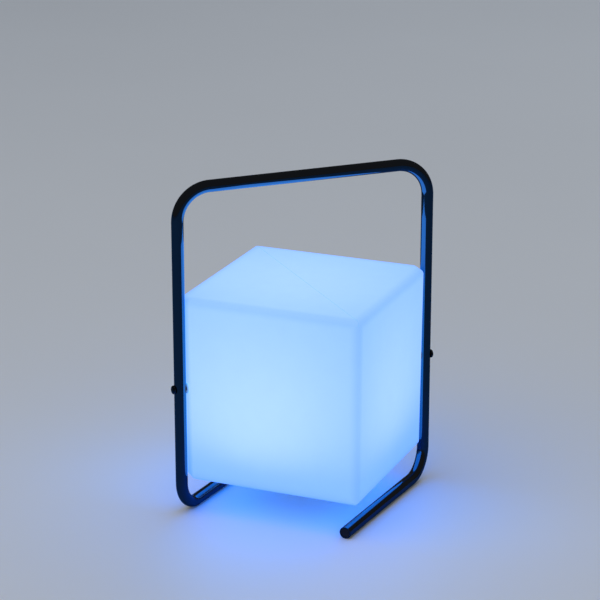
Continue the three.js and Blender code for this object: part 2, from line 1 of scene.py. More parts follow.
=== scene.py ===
"""Cube lantern on a bent tube stand: its fine pieces, their finishes and the studio it stands in."""

import json
import math

import bmesh
import bpy
from bpy.props import FloatProperty, FloatVectorProperty, IntProperty, PointerProperty
from mathutils import Matrix, Vector


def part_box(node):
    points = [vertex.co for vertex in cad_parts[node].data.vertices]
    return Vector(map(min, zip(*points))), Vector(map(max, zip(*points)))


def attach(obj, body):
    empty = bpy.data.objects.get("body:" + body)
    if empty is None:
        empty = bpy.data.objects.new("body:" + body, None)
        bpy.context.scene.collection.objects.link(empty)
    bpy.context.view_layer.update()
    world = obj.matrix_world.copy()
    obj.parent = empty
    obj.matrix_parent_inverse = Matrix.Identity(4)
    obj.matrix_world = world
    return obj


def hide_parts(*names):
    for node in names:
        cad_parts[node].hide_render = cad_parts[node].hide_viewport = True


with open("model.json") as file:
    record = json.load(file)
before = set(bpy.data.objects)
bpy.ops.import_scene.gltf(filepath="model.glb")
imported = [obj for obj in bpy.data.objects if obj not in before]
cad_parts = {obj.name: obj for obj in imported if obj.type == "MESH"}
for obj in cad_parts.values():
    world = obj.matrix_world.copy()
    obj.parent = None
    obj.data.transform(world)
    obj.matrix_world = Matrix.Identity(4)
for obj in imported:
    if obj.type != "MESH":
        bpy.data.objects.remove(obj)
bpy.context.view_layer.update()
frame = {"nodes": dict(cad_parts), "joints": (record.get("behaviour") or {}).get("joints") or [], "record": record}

bl_info = {
    "name": "Cube Lantern",
    "version": (1, 0, 0),
    "blender": (4, 5, 0),
    "location": "View3D > Sidebar > Lantern",
    "description": "Builds the fine pieces and finishes of a cube lantern around its packed frame",
    "category": "Add Mesh",
}

JOINTS = {joint["name"]: joint for joint in frame["joints"]}
MOUNTS = {mount["name"]: mount for mount in frame["record"]["mounts"]}
SIDES = {"right": 1, "left": -1}

# How finely round shapes are divided.
TUBE_SIDES = 64
BEND_STEPS = 24
ROUND_SIDES = 96
SMALL_SIDES = 40
ARC_STEPS = 8
DOME_STEPS = 24

# An edge sharper than this stays sharp, and a bend smaller than this, in radians, is straight.
SHARP_ANGLE = math.radians(32)
STRAIGHT = 1e-4

# Corners closer than this, in metres, are one.
SAME_PLACE = 1e-6


# ---------------------------------------------------------------- places that the frame gives

PIVOT = Vector(JOINTS["cube_tilt"]["pos_m"])
STAND_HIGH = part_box("carry_frame")[1]
SHELL_LOW, SHELL_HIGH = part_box("cube_shell")
FLANGE_LOW, CUP_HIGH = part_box("module_housing")
UNDERSIDE = SHELL_LOW.z


def middle(node):
    """The middle of a CAD node's box."""
    low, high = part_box(node)
    return (low + high) / 2


def half_width(node):
    """Half of a CAD node's width along X."""
    low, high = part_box(node)
    return (high.x - low.x) / 2


# ---------------------------------------------------------------- sizes and colours to change


def length(name, default, description):
    """A length in metres, shown in the panel."""
    return FloatProperty(name=name, description=description, default=default,
                         min=0, unit="LENGTH", precision=5)


def colour(name, default, description):
    """A linear colour, shown in the panel."""
    return FloatVectorProperty(name=name, description=description, default=default,
                               subtype="COLOR", min=0, max=4)


def number(name, default, description):
    """A plain number, shown in the panel."""
    return FloatProperty(name=name, description=description, default=default, precision=3)


class StandSizes(bpy.types.PropertyGroup):
    """The bent tube stand and its end plugs."""

    tube_diameter: length("Tube diameter", 0.0127, "Outer diameter of the tube")
    tube_wall: length("Tube wall", 0.0012, "Wall thickness of the tube")
    handle_bend: length("Handle bend", 0.035, "Bend radius between an upright and the handle, at mid tube")
    foot_bend: length("Foot bend", 0.03, "Bend radius between an upright and its foot, at mid tube")
    foot_reach: length("Foot reach", 0.19, "From an upright's axis to the end of its foot")
    lip: length("Lip", 0.0005, "Rounding of the tube's ends")
    plug_length: length("Plug length", 0.014, "Length of an end plug")
    plug_recess: length("Plug recess", 0.0003, "How far an end plug sits inside the tube's end")
    plug_crown: length("Plug crown", 0.0002, "Rise of the plug's outer face")
    plug_rounding: length("Plug rounding", 0.0005, "Rounding of the plug's rims")


class ShellSizes(bpy.types.PropertyGroup):
    """The moulded cube."""

    width: length("Width", 0.2, "Width of the cube at half its height")
    draft: length("Draft", 0.003, "How much wider the top is than the base")
    flat_width: length("Corner flat", 0.0188, "Width of the flats that face the uprights")
    edge: length("Edge", 0.005, "Rounding of the cube's edges")
    wall: length("Wall", 0.003, "Wall thickness of the shell")
    pocket_depth: length("Pocket depth", 0.005, "Depth of the pocket in the underside")
    parting_width: length("Parting width", 0.0004, "Width of the mould's parting line")
    parting_depth: length("Parting depth", 0.0002, "Depth of the mould's parting line")
    boss_wall: length("Boss wall", 0.0035, "Wall round the threaded inserts")
    screw_boss_wall: length("Screw boss wall", 0.0023, "Wall round the housing screws' holes")


class GlowSettings(bpy.types.PropertyGroup):
    """How the lamp lights the cube from inside."""

    lamp_place: FloatVectorProperty(name="Lamp place", description="Where the lamp shines from in the cube",
                                    default=(-0.012, 0.008, UNDERSIDE + 0.025), subtype="XYZ",
                                    unit="LENGTH")
    peak: number("Peak", 32.5, "Strength of the lamp on a wall that counts as one")
    top: number("Top", 0.65, "Share of the light that the top lets through, against the walls")
    fill: number("Fill", 0.6, "Strength at which the light levels off")
    # Painted shade: the edge band darkens the cube's light along its edges.
    edge_shade_band: length("Edge band", 0.012, "Width of the tinted band along the edges")
    fine_mottle: number("Fine mottle", 0.04, "Swing of the light over the fine grain")
    broad_mottle: number("Broad mottle", 0.06, "Swing of the light over broader patches")
    seam: number("Seam", 0.86, "Share of the light that the parting line lets through")


class PivotSizes(bpy.types.PropertyGroup):
    """The pivot screws, their inserts and their washers."""

    thread: length("Thread", 0.005, "Diameter of the pivot screws")
    head_rim: length("Head rim", 0.0004, "Straight rim under the button head's crown")
    head_flat: length("Head flat", 0.0046, "Diameter of the flat on the button head")
    socket_width: length("Socket width", 0.003, "Hexagon socket across its flats")
    socket_depth: length("Socket depth", 0.0017, "Depth of the hexagon socket")
    thread_pitch: length("Thread pitch", 0.0008, "Pitch of the screw's thread and the insert's grooves")


class ModuleSizes(bpy.types.PropertyGroup):
    """The lamp module in the underside."""

    cup_wall: length("Cup wall", 0.0024, "Wall of the cup that holds the electronics")
    flange_thickness: length("Flange thickness", 0.0034, "Thickness of the flange")
    flange_rounding: length("Flange rounding", 0.0008, "Rounding of the flange's outer edge")
    screw_diameter: length("Screw diameter", 0.0029, "Diameter of the flange screws")
    head_height: length("Head height", 0.0015, "Height of the flange screws' heads")
    groove_depth: length("Groove depth", 0.0012, "Depth of the seal's groove")
    seal_width: length("Seal width", 0.002, "Width of the housing's seal")
    post_radius: length("Post radius", 0.0031, "Radius of the posts that hold the boards")
    board_screw: length("Board screw", 0.0022, "Diameter of the board screws")
    button_diameter: length("Button diameter", 0.013, "Diameter of the power button")
    button_flange: length("Button flange", 0.0012, "Thickness of the button's inner flange")
    button_recess: length("Button recess", 0.0008, "Depth of the recess round the button")
    recess_margin: length("Recess margin", 0.0025, "How far the recess stands out from the button's bore")
    button_edge: length("Button edge", 0.0005, "Rounding of the button's rim")
    plug_thickness: length("Plug thickness", 0.0013, "Thickness of the charging port's plug")
    plug_edge: length("Plug edge", 0.0004, "Rounding of the plug's rim")
    socket_wall: length("Socket wall", 0.0004, "Wall of the charging socket")
    notch_radius: length("Notch radius", 0.0022, "Radius of the nail notch in the plug")
    notch_length: length("Notch length", 0.009, "Length of the nail notch")
    notch_drop: length("Notch drop", 0.0012, "How far the notch's axis lies below the plug's face")
    lens_wall: length("Lens wall", 0.002, "Wall of the domed lens")
    lens_rise: length("Lens rise", 0.014, "Rise of the dome over its rim")
    lens_spigot: length("Lens spigot", 0.003, "Depth of the lens inside the cup")


class CellSizes(bpy.types.PropertyGroup):
    """The battery cells."""

    cap_height: length("Cap height", 0.0015, "Height of the raised cap")
    cap_rounding: length("Cap rounding", 0.0003, "Rounding of the cap's rim")
    end_dish: length("End dish", 0.0003, "Depth of the dish in the flat end")
    shoulder: length("Shoulder", 0.0007, "Rounding of both ends")
    crimp_depth: length("Crimp depth", 0.0003, "Depth of the crimp round the can")
    crimp_place: length("Crimp place", 0.0029, "From the can's end to the middle of the crimp")
    crimp_width: length("Crimp width", 0.0006, "Width of the crimp at its bottom")
    crimp_slope: length("Crimp slope", 0.0004, "Run of the crimp's slopes")
    bare_end: length("Bare end", 0.0019, "Metal that shows beyond the sleeve")


class FitSizes(bpy.types.PropertyGroup):
    """Clearances between neighbours."""

    contact: length("Contact", 0.0002, "Gap between pieces that touch")
    slide: length("Slide", 0.0003, "Gap round pieces that slide or sit inside each other")
    opening: length("Opening", 0.002, "Gap between the cup and the opening that it passes")


class LanternColours(bpy.types.PropertyGroup):
    """Colours of the finishes, linear."""

    tube: colour("Tube", (0.15, 0.16, 0.18), "Dark chrome of the tube")
    black_plastic: colour("Black plastic", (0.012, 0.0125, 0.014), "End plugs and cell cradle")
    shell: colour("Shell", (0.25, 0.28, 0.3), "White moulded shell, as its own light leaves it")
    glow_base: colour("Glow", (0.137, 0.39, 1.3), "Light that the whole shell gives")
    glow_lamp: colour("Lamp glow", (0.262, 0.262, 0.2), "Light added where the lamp shines on the shell")
    # Painted shade: this colour darkens the cube's light along its edges.
    glow_edge_shade: colour("Edge tint", (0.76, 0.87, 1.0), "Tint of the light through the thicker edges")
    glow_cast: colour("Cast light", (0.1, 1.35, 1.9), "Tint of the light that the shell throws around it")
    dark_steel: colour("Dark steel", (0.07, 0.073, 0.08), "Pivot screws")
    brass: colour("Brass", (0.62, 0.4, 0.13), "Threaded inserts")
    nylon: colour("Nylon", (0.5, 0.5, 0.48), "Friction washers")
    # Painted glow: the washers glow with this colour in place of the shell's light shining through them.
    nylon_painted_glow: colour("Lit nylon", (0.06, 0.2, 0.55), "Light that the washers let through from the shell")
    white_plastic: colour("White plastic", (0.72, 0.73, 0.74), "Lamp module's housing")
    seal_rubber: colour("Seal rubber", (0.4, 0.42, 0.45), "Seals")
    lens: colour("Lens", (0.8, 0.84, 0.88), "Domed lens")
    plated_steel: colour("Plated steel", (0.52, 0.53, 0.54), "Screws and charging socket")
    white_board: colour("White board", (0.8, 0.8, 0.76), "Light board")
    green_board: colour("Green board", (0.012, 0.1, 0.035), "Control board")
    lamp_package: colour("Lamp package", (0.86, 0.84, 0.7), "Rim of the light chips")
    phosphor: colour("Phosphor", (0.85, 0.62, 0.08), "Middle of the light chips")
    chip_glow: colour("Chip glow", (0.55, 0.75, 1.0), "Light of the chips")
    chip_black: colour("Chip black", (0.012, 0.012, 0.013), "Chips and switch")
    cell_wrap: colour("Cell wrap", (0.03, 0.16, 0.44), "Sleeve of the battery cells")
    cell_can: colour("Cell can", (0.55, 0.55, 0.54), "Bare ends of the battery cells")
    button_rubber: colour("Button rubber", (0.24, 0.26, 0.29), "Power button and port plug")
    floor: colour("Floor", (0.76, 0.78, 0.8), "Studio floor")
    floor_mirrored: colour("Mirrored floor", (0.015, 0.11, 0.3), "Floor as the tube mirrors it")
    world: colour("Room", (0.84, 0.9, 1.0), "Light of the room round the studio")


class StageSettings(bpy.types.PropertyGroup):
    """Camera, lights and floor."""

    azimuth: FloatProperty(name="Azimuth", description="Camera's turn round the lantern",
                           default=math.radians(-22.33), subtype="ANGLE")
    elevation: FloatProperty(name="Elevation", description="Camera's height over the horizon",
                             default=math.radians(18.54), subtype="ANGLE")
    distance: length("Distance", 2.448, "From the camera to the plane of the cube's middle")
    aim_side: FloatProperty(name="Aim side", description="How far right of the cube the camera looks",
                            default=-0.0051, unit="LENGTH", precision=4)
    aim_rise: length("Aim rise", 0.0755, "How far over the cube's middle the camera looks")
    lens: FloatProperty(name="Lens", description="Focal length of the camera", default=138.6,
                        unit="CAMERA")
    room_light: number("Room light", 0.42, "Strength of the light all round")
    mirrored_room: number("Mirrored room", 0.1, "Share of the room's light that shows in reflections")
    floor_radius: length("Floor radius", 14, "Radius of the floor")
    floor_sides: IntProperty(name="Floor sides", description="Sides of the floor", default=96)


# ---------------------------------------------------------------- shapes


def as_piece(name, mesh):
    """A new object from a bmesh, in the row frame."""
    bmesh.ops.recalc_face_normals(mesh, faces=mesh.faces)
    data = bpy.data.meshes.new(name)
    mesh.to_mesh(data)
    mesh.free()
    piece = bpy.data.objects.new(name, data)
    bpy.context.scene.collection.objects.link(piece)
    return piece


def shaped(piece, others, operation):
    """Cuts other objects from a piece, or joins them to it, and removes them."""
    for other in others:
        modifier = piece.modifiers.new(operation, "BOOLEAN")
        modifier.object = other
        modifier.operation = operation
        modifier.solver = "EXACT"
    bpy.context.view_layer.update()
    evaluated = piece.evaluated_get(bpy.context.evaluated_depsgraph_get())
    result = bpy.data.meshes.new_from_object(evaluated)
    piece.modifiers.clear()
    old = piece.data
    piece.data = result
    bpy.data.meshes.remove(old)
    for other in others:
        bpy.data.meshes.remove(other.data)
    result.name = piece.name
    return piece


def cut(piece, cutters):
    """A piece with cutters taken out of it."""
    return shaped(piece, cutters, "DIFFERENCE")


def join(piece, additions):
    """A piece with additions joined to it."""
    return shaped(piece, additions, "UNION")


def shade(piece):
    """Smooth shading that keeps sharp edges sharp and flat faces flat."""
    piece.data.shade_smooth()
    piece.data.set_sharp_from_angle(angle=SHARP_ANGLE)
    weighted = piece.modifiers.new("Flat faces", "WEIGHTED_NORMAL")
    weighted.keep_sharp = True
    return piece


def finished(piece, body, look, slot, *nodes):
    """Gives a piece its finish and its body, and hides the CAD nodes that it stands for."""
    shade(piece)
    piece.data.materials.clear()
    piece.data.materials.append(look)
    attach(piece, body)
    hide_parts(*nodes)
    return piece


def filleted(corners, closed=False):
    """Points of an outline from (radius, height, fillet) corners, with an arc at each fillet."""
    points = []
    for index, (across, height, fillet) in enumerate(corners):
        corner = Vector((across, height))
        if not fillet:
            points.append(corner)
            continue
        before = (Vector(corners[index - 1][:2]) - corner).normalized()
        after = (Vector(corners[(index + 1) % len(corners)][:2]) - corner).normalized()
        half = before.angle(after) / 2
        centre = corner + (before + after).normalized() * fillet / math.sin(half)
        start = corner + before * fillet / math.tan(half) - centre
        turn = math.copysign(math.pi - 2 * half, after.cross(before))
        for step in range(ARC_STEPS + 1):
            points.append(centre + Matrix.Rotation(turn * step / ARC_STEPS, 2) @ start)
    if closed:
        points.append(points[0])
    return points


def turned(profile, sides=ROUND_SIDES):
    """A solid turned about Z. Its profile starts and ends on the axis, or closes on itself."""
    mesh = bmesh.new()
    rings = []
    for radius, height in profile:
        count = sides if radius > 0 else 1
        spokes = [2 * math.pi * index / count for index in range(count)]
        rings.append([mesh.verts.new((radius * math.cos(a), radius * math.sin(a), height)) for a in spokes])
    for low, high in zip(rings, rings[1:]):
        for index in range(sides):
            after = (index + 1) % sides
            places = [low[index % len(low)], low[after % len(low)],
                      high[after % len(high)], high[index % len(high)]]
            corners = list(dict.fromkeys(places))
            if len(corners) > 2:
                mesh.faces.new(corners)
    bmesh.ops.remove_doubles(mesh, verts=mesh.verts, dist=SAME_PLACE)
    return mesh


def turned_piece(name, corners, place, sides=ROUND_SIDES, closed=False, facing=None):
    """A turned piece at a place, its own +Z turned to face along a direction."""
    mesh = turned(filleted(corners, closed), sides)
    if facing is not None:
        turn = Vector((0, 0, 1)).rotation_difference(facing).to_matrix()
        bmesh.ops.rotate(mesh, verts=mesh.verts, cent=(0, 0, 0), matrix=turn)
    bmesh.ops.translate(mesh, verts=mesh.verts, vec=place)
    return as_piece(name, mesh)


def bar(radius, start, end, sides=SMALL_SIDES):
    """A round bar between two points, as a cutter or an addition."""
    run = end - start
    corners = [(0, 0, 0), (radius, 0, 0), (radius, run.length, 0), (0, run.length, 0)]
    return turned_piece("bar", corners, start, sides, facing=run.normalized())


def upright_bar(radius, place, low, high, sides=SMALL_SIDES):
    """A round bar along Z at a place, between two heights over the underside."""
    start = Vector((place.x, place.y, UNDERSIDE + low))
    return bar(radius, start, start + Vector((0, 0, high - low)), sides)


def block(size, centre, turn=0):
    """A block of a size round a centre, turned about Z, as a cutter or an addition."""
    mesh = bmesh.new()
    bmesh.ops.create_cube(mesh, size=1)
    place = Matrix.Translation(centre) @ Matrix.Rotation(turn, 4, "Z") @ Matrix.Diagonal((*size, 1))
    bmesh.ops.transform(mesh, matrix=place, verts=mesh.verts)
    return as_piece("block", mesh)


# ---------------------------------------------------------------- shader effects that materials share


def add_node(tree, kind, inputs=None, **settings):
    """A new node. Its inputs are values, or sockets to link from."""
    node = tree.nodes.new(kind)
    for key, value in settings.items():
        setattr(node, key, value)
    for key, value in (inputs or {}).items():
        if isinstance(value, bpy.types.NodeSocket):
            tree.links.new(value, node.inputs[key])
        else:
            node.inputs[key].default_value = value
    return node


def maths(tree, operation, *values):
    """The result of a Math node."""
    node = add_node(tree, "ShaderNodeMath", dict(enumerate(values)), operation=operation)
    return node.outputs["Value"]


def vector_maths(tree, operation, output, *values):
    """One output of a Vector Math node."""
    node = add_node(tree, "ShaderNodeVectorMath", dict(enumerate(values)), operation=operation)
    return node.outputs[output]


def scaled(tree, vector, strength):
    """A vector or a colour times a number."""
    node = add_node(tree, "ShaderNodeVectorMath", {0: vector, "Scale": strength}, operation="SCALE")
    return node.outputs["Vector"]


def mixed(tree, share, first, second):
    """A mix of two colours. A Mix node's colour sockets have the numbers 6, 7 and 2."""
    node = add_node(tree, "ShaderNodeMix", {0: share, 6: first, 7: second}, data_type="RGBA")
    return node.outputs[2]


def piece_place(tree):
    """A point's place in the row frame."""
    return tree.nodes.new("ShaderNodeTexCoord").outputs["Object"]


def parts_of(tree, vector):
    """The X, Y and Z parts of a vector."""
    return add_node(tree, "ShaderNodeSeparateXYZ", {"Vector": vector}).outputs


def base_colour(shader):
    """What feeds a shader's base colour."""
    return shader.inputs["Base Color"].links[0].from_socket


def effect(name, inputs, outputs):
    """An empty node group with named sockets: its tree, its inputs and its output node."""
    tree = bpy.data.node_groups.new(name, "ShaderNodeTree")
    for label, (kind, default) in inputs.items():
        socket = tree.interface.new_socket(label, in_out="INPUT", socket_type=f"NodeSocket{kind}")
        socket.default_value = default
    for label, kind in outputs.items():
        tree.interface.new_socket(label, in_out="OUTPUT", socket_type=f"NodeSocket{kind}")
    given = tree.nodes.new("NodeGroupInput").outputs
    return tree, given, tree.nodes.new("NodeGroupOutput")


def object_noise(tree, scale, detail=3.0):
    """Noise over the piece's own coordinates, from 0 to 1."""
    place = piece_place(tree)
    noise = add_node(tree, "ShaderNodeTexNoise", {"Vector": place, "Scale": scale, "Detail": detail})
    return noise.outputs["Fac"]


def colour_drift():
    """Effect: a colour that drifts a little lighter and darker over the surface."""
    tree, given, result = effect("Colour drift", {
        "Color": ("Color", (0.5, 0.5, 0.5, 1)),
        "Drift": ("Float", 0.05),
        "Scale": ("Float", 20.0),
    }, {"Color": "Color"})
    noise = object_noise(tree, given["Scale"])
    swing = maths(tree, "MULTIPLY", maths(tree, "SUBTRACT", noise, 0.5), given["Drift"])
    strength = maths(tree, "MULTIPLY_ADD", swing, 2.0, 1.0)
    tree.links.new(scaled(tree, given["Color"], strength), result.inputs["Color"])
    return tree


def smudges():
    """Effect: roughness with soft smudges and fine streaks of handling."""
    tree, given, result = effect("Smudges", {
        "Roughness": ("Float", 0.3),
        "Spread": ("Float", 0.1),
        "Scale": ("Float", 30.0),
    }, {"Roughness": "Float"})
    finer, fine_share = 9.0, 0.3
    soft = object_noise(tree, given["Scale"], 4.0)
    fine = object_noise(tree, maths(tree, "MULTIPLY", given["Scale"], finer), 2.0)
    both = maths(tree, "MULTIPLY_ADD", fine, fine_share, maths(tree, "MULTIPLY", soft, 1.0 - fine_share))
    swing = maths(tree, "MULTIPLY", maths(tree, "SUBTRACT", both, 0.5), given["Spread"])
    rough = add_node(tree, "ShaderNodeMath", {0: swing, 1: 2.0, 2: given["Roughness"]},
                     operation="MULTIPLY_ADD", use_clamp=True)
    tree.links.new(rough.outputs["Value"], result.inputs["Roughness"])
    return tree


def grain():
    """Effect: a fine moulded or cast grain, as a height."""
    tree, given, result = effect("Grain", {
        "Scale": ("Float", 1500.0),
        "Softness": ("Float", 0.5),
    }, {"Height": "Float"})
    coarser = 0.4
    cells = add_node(tree, "ShaderNodeTexVoronoi", {"Vector": piece_place(tree), "Scale": given["Scale"]},
                     feature="SMOOTH_F1")
    noise = object_noise(tree, maths(tree, "MULTIPLY", given["Scale"], coarser))
    height = add_node(tree, "ShaderNodeMix", {0: given["Softness"], 2: cells.outputs["Distance"], 3: noise})
    tree.links.new(height.outputs[0], result.inputs["Height"])
    return tree


def edge_wear():
    """Effect: a mask of worn outer edges, broken up by noise."""
    tree, given, result = effect("Edge wear", {
        "Start": ("Float", 0.52),
        "Scale": ("Float", 200.0),
    }, {"Mask": "Float"})
    break_up, fade = 0.06, 0.08
    edge = tree.nodes.new("ShaderNodeNewGeometry").outputs["Pointiness"]
    noise = object_noise(tree, given["Scale"], 4.0)
    broken = maths(tree, "MULTIPLY_ADD", maths(tree, "SUBTRACT", noise, 0.5), break_up, edge)
    end = maths(tree, "ADD", given["Start"], fade)
    mask = add_node(tree, "ShaderNodeMapRange", {
        "Value": broken,
        "From Min": given["Start"],
        "From Max": end,
    })
    tree.links.new(mask.outputs["Result"], result.inputs["Mask"])
    return tree


def lamp_light():
    """Effect: how strongly a lamp that faces up lights a cube's walls from inside, and a mask of the band along
    its edges where shade is painted into that light.

    The light falls with the square of the reach and with both cosines, at the lamp and at the wall. The
    cube's diagonal lies along X, so places and normals are turned to lie along its walls. Squared normals
    keep the light even round the rounded edges.
    """
    tree, given, result = effect("Lamp light", {
        "Lamp": ("Vector", (0, 0, 0)),
        "Centre": ("Vector", (0, 0, 0)),
        "Half": ("Float", 0.1),
        "Peak": ("Float", 32.5),
        "Top": ("Float", 0.65),
        "Fill": ("Float", 0.6),
        "Band": ("Float", 0.012),
    }, {"Light": "Float", "Edge": "Float"})
    lamp_softness = 0.03
    place = tree.nodes.new("ShaderNodeTexCoord")

    def along_walls(vector):
        return add_node(tree, "ShaderNodeVectorRotate", {"Vector": vector, "Angle": math.pi / 4},
                        rotation_type="Z_AXIS").outputs["Vector"]

    reach = vector_maths(tree, "SUBTRACT", "Vector", place.outputs["Object"], given["Lamp"])
    normal = along_walls(place.outputs["Normal"])
    size = vector_maths(tree, "ABSOLUTE", "Vector", normal)
    squared = vector_maths(tree, "MULTIPLY", "Vector", normal, size)
    facing = vector_maths(tree, "DOT_PRODUCT", "Value", along_walls(reach), squared)
    rise = parts_of(tree, reach)["Z"]
    fall = maths(tree, "POWER", vector_maths(tree, "LENGTH", "Value", reach), 4.0)
    above = maths(tree, "SMOOTH_MAX", rise, 0.0, lamp_softness)
    raw = maths(tree, "MULTIPLY", above, maths(tree, "MAXIMUM", facing, 0.0))
    light = maths(tree, "DIVIDE", maths(tree, "DIVIDE", raw, fall), given["Peak"])
    through = add_node(tree, "ShaderNodeMapRange", {
        "Value": parts_of(tree, size)["Z"],
        "To Min": 1.0,
        "To Max": given["Top"],
    })
    level = maths(tree, "DIVIDE", maths(tree, "MULTIPLY", light, through.outputs["Result"]), given["Fill"])
    filled = maths(tree, "SUBTRACT", 1.0, maths(tree, "EXPONENT", maths(tree, "MULTIPLY", level, -1.0)))
    tree.links.new(filled, result.inputs["Light"])

    # Edge mask: 1 along the cube's edges, where the light is darkened as painted shade.
    outwards = vector_maths(tree, "SUBTRACT", "Vector", place.outputs["Object"], given["Centre"])
    across = parts_of(tree, vector_maths(tree, "ABSOLUTE", "Vector", along_walls(outwards)))
    nearer = maths(tree, "MINIMUM", across["X"], across["Y"])
    further = maths(tree, "MAXIMUM", across["X"], across["Y"])
    second = maths(tree, "MAXIMUM", nearer, maths(tree, "MINIMUM", further, across["Z"]))
    edge = add_node(tree, "ShaderNodeMapRange", {
        "Value": maths(tree, "SUBTRACT", given["Half"], second),
        "From Min": 0.0,
        "From Max": given["Band"],
        "To Min": 1.0,
        "To Max": 0.0,
    }, interpolation_type="SMOOTHSTEP")
    tree.links.new(edge.outputs["Result"], result.inputs["Edge"])
    return tree


EFFECTS = {
    "Colour drift": colour_drift,
    "Smudges": smudges,
    "Grain": grain,
    "Edge wear": edge_wear,
    "Lamp light": lamp_light,
}


def place_effect(tree, name, **inputs):
    """A shared effect placed in a material, built the first time it is used."""
    group = bpy.data.node_groups.get(name) or EFFECTS[name]()
    return add_node(tree, "ShaderNodeGroup", {key.capitalize(): value for key, value in inputs.items()},
                    node_tree=group).outputs


# ---------------------------------------------------------------- finishes

BLACK = (0.0, 0.0, 0.0, 1.0)
WHITE = (1.0, 1.0, 1.0, 1.0)


def opaque(rgb):
    """A colour with full alpha."""
    return (*rgb, 1.0)


def start_finish(name, rgb, metallic, roughness, spread, drift, drift_scale, smudge_scale):
    """A material with drifting colour and smudged roughness: the material, its tree and its shader."""
    look = bpy.data.materials.new(name)
    look.use_nodes = True
    look.diffuse_color = opaque(rgb)
    tree = look.node_tree
    shader = tree.nodes["Principled BSDF"]
    shader.inputs["Metallic"].default_value = metallic
    base = place_effect(tree, "Colour drift", color=opaque(rgb), drift=drift, scale=drift_scale)
    rough = place_effect(tree, "Smudges", roughness=roughness, spread=spread, scale=smudge_scale)
    tree.links.new(base["Color"], shader.inputs["Base Color"])
    tree.links.new(rough["Roughness"], shader.inputs["Roughness"])
    return look, tree, shader


def add_grain(tree, shader, scale, depth, softness=0.5):
    """Fine relief on a finish, with its depth in metres."""
    height = place_effect(tree, "Grain", scale=scale, softness=softness)["Height"]
    bump = add_node(tree, "ShaderNodeBump", {"Height": height, "Distance": depth, "Strength": 1.0})
    tree.links.new(bump.outputs["Normal"], shader.inputs["Normal"])


def add_wear(tree, shader, worn):
    """Lighter base colour along worn edges."""
    mask = place_effect(tree, "Edge wear", start=0.52, scale=200.0)["Mask"]
    tree.links.new(mixed(tree, mask, base_colour(shader), opaque(worn)), shader.inputs["Base Color"])


def dark_chrome(colours):
    """Polished dark chrome with faint wipe marks."""
    look, tree, shader = start_finish("dark_chrome", colours.tube,
                                      metallic=1.0, roughness=0.07, spread=0.04, drift=0.05,
                                      drift_scale=14.0, smudge_scale=26.0)
    add_grain(tree, shader, scale=900.0, depth=0.0000015, softness=0.9)
    return look


def black_plastic(colours):
    """Black moulded plastic with a fine grain."""
    look, tree, shader = start_finish("black_plastic", colours.black_plastic,
                                      metallic=0.0, roughness=0.42, spread=0.1, drift=0.2,
                                      drift_scale=90.0, smudge_scale=120.0)
    add_grain(tree, shader, scale=2600.0, depth=0.00003)
    add_wear(tree, shader, (0.04, 0.041, 0.044))
    return look


def parting_seam(tree, sizes, share):
    """How much light the parting line over the top lets through, and 1 beside it."""
    core, rim = 0.4, 0.9
    parts = parts_of(tree, piece_place(tree))
    below = add_node(tree, "ShaderNodeMapRange", {
        "Value": parts["Z"],
        "From Min": SHELL_HIGH.z - sizes.edge,
        "From Max": SHELL_HIGH.z - sizes.edge / 2,
        "To Min": sizes.parting_width,
        "To Max": 0.0,
    }).outputs["Result"]
    return add_node(tree, "ShaderNodeMapRange", {
        "Value": maths(tree, "ADD", maths(tree, "ABSOLUTE", parts["X"]), below),
        "From Min": sizes.parting_width * core,
        "From Max": sizes.parting_width * rim,
        "To Min": share,
        "To Max": 1.0,
    }, interpolation_type="SMOOTHSTEP").outputs["Result"]


def glowing_shell(colours, sizes, settings):
    """Milky rotomoulded plastic, lit from inside, with painted shade along its edges. The light that it casts has
    a tint of its own.
    """
    look, tree, shader = start_finish("glowing_shell", colours.shell,
                                      metallic=0.0, roughness=0.44, spread=0.08, drift=0.03,
                                      drift_scale=12.0, smudge_scale=40.0)
    add_grain(tree, shader, scale=700.0, depth=0.00002, softness=0.8)
    glow = place_effect(tree, "Lamp light", lamp=settings.lamp_place, centre=(SHELL_LOW + SHELL_HIGH) / 2,
                        half=sizes.width / 2, peak=settings.peak, top=settings.top, fill=settings.fill,
                        band=settings.edge_shade_band)
    plain = 1.0 - settings.fine_mottle / 2 - settings.broad_mottle / 2
    fine = maths(tree, "MULTIPLY_ADD", object_noise(tree, 650.0), settings.fine_mottle, plain)
    mottle = maths(tree, "MULTIPLY_ADD", object_noise(tree, 55.0, 4.0), settings.broad_mottle, fine)
    seam = parting_seam(tree, sizes, settings.seam)
    strength = maths(tree, "MULTIPLY", maths(tree, "MULTIPLY", glow["Light"], mottle), seam)
    lit = scaled(tree, tuple(colours.glow_lamp), strength)
    base = scaled(tree, tuple(colours.glow_base), maths(tree, "MULTIPLY", mottle, seam))
    # Painted shade: the light is darkened along the cube's edges.
    painted_edge_shade = mixed(tree, glow["Edge"], WHITE, opaque(colours.glow_edge_shade))
    both = vector_maths(tree, "ADD", "Vector", base, lit)
    total = vector_maths(tree, "MULTIPLY", "Vector", both, painted_edge_shade)
    cast = vector_maths(tree, "MULTIPLY", "Vector", total, tuple(colours.glow_cast))
    seen = tree.nodes.new("ShaderNodeLightPath").outputs["Is Camera Ray"]
    tree.links.new(mixed(tree, seen, cast, total), shader.inputs["Emission Color"])
    shader.inputs["Emission Strength"].default_value = 1.0
    return look


def dark_steel(colours):
    """Blackened steel of the pivot screws."""
    look, tree, shader = start_finish("dark_steel", colours.dark_steel,
                                      metallic=1.0, roughness=0.26, spread=0.1, drift=0.15,
                                      drift_scale=300.0, smudge_scale=400.0)
    add_grain(tree, shader, scale=3000.0, depth=0.000008)
    add_wear(tree, shader, (0.3, 0.3, 0.31))
    return look


def brass(colours):
    """Turned brass."""
    look, tree, shader = start_finish("brass", colours.brass,
                                      metallic=1.0, roughness=0.32, spread=0.12, drift=0.1,
                                      drift_scale=200.0, smudge_scale=300.0)
    add_grain(tree, shader, scale=2500.0, depth=0.00001)
    return look


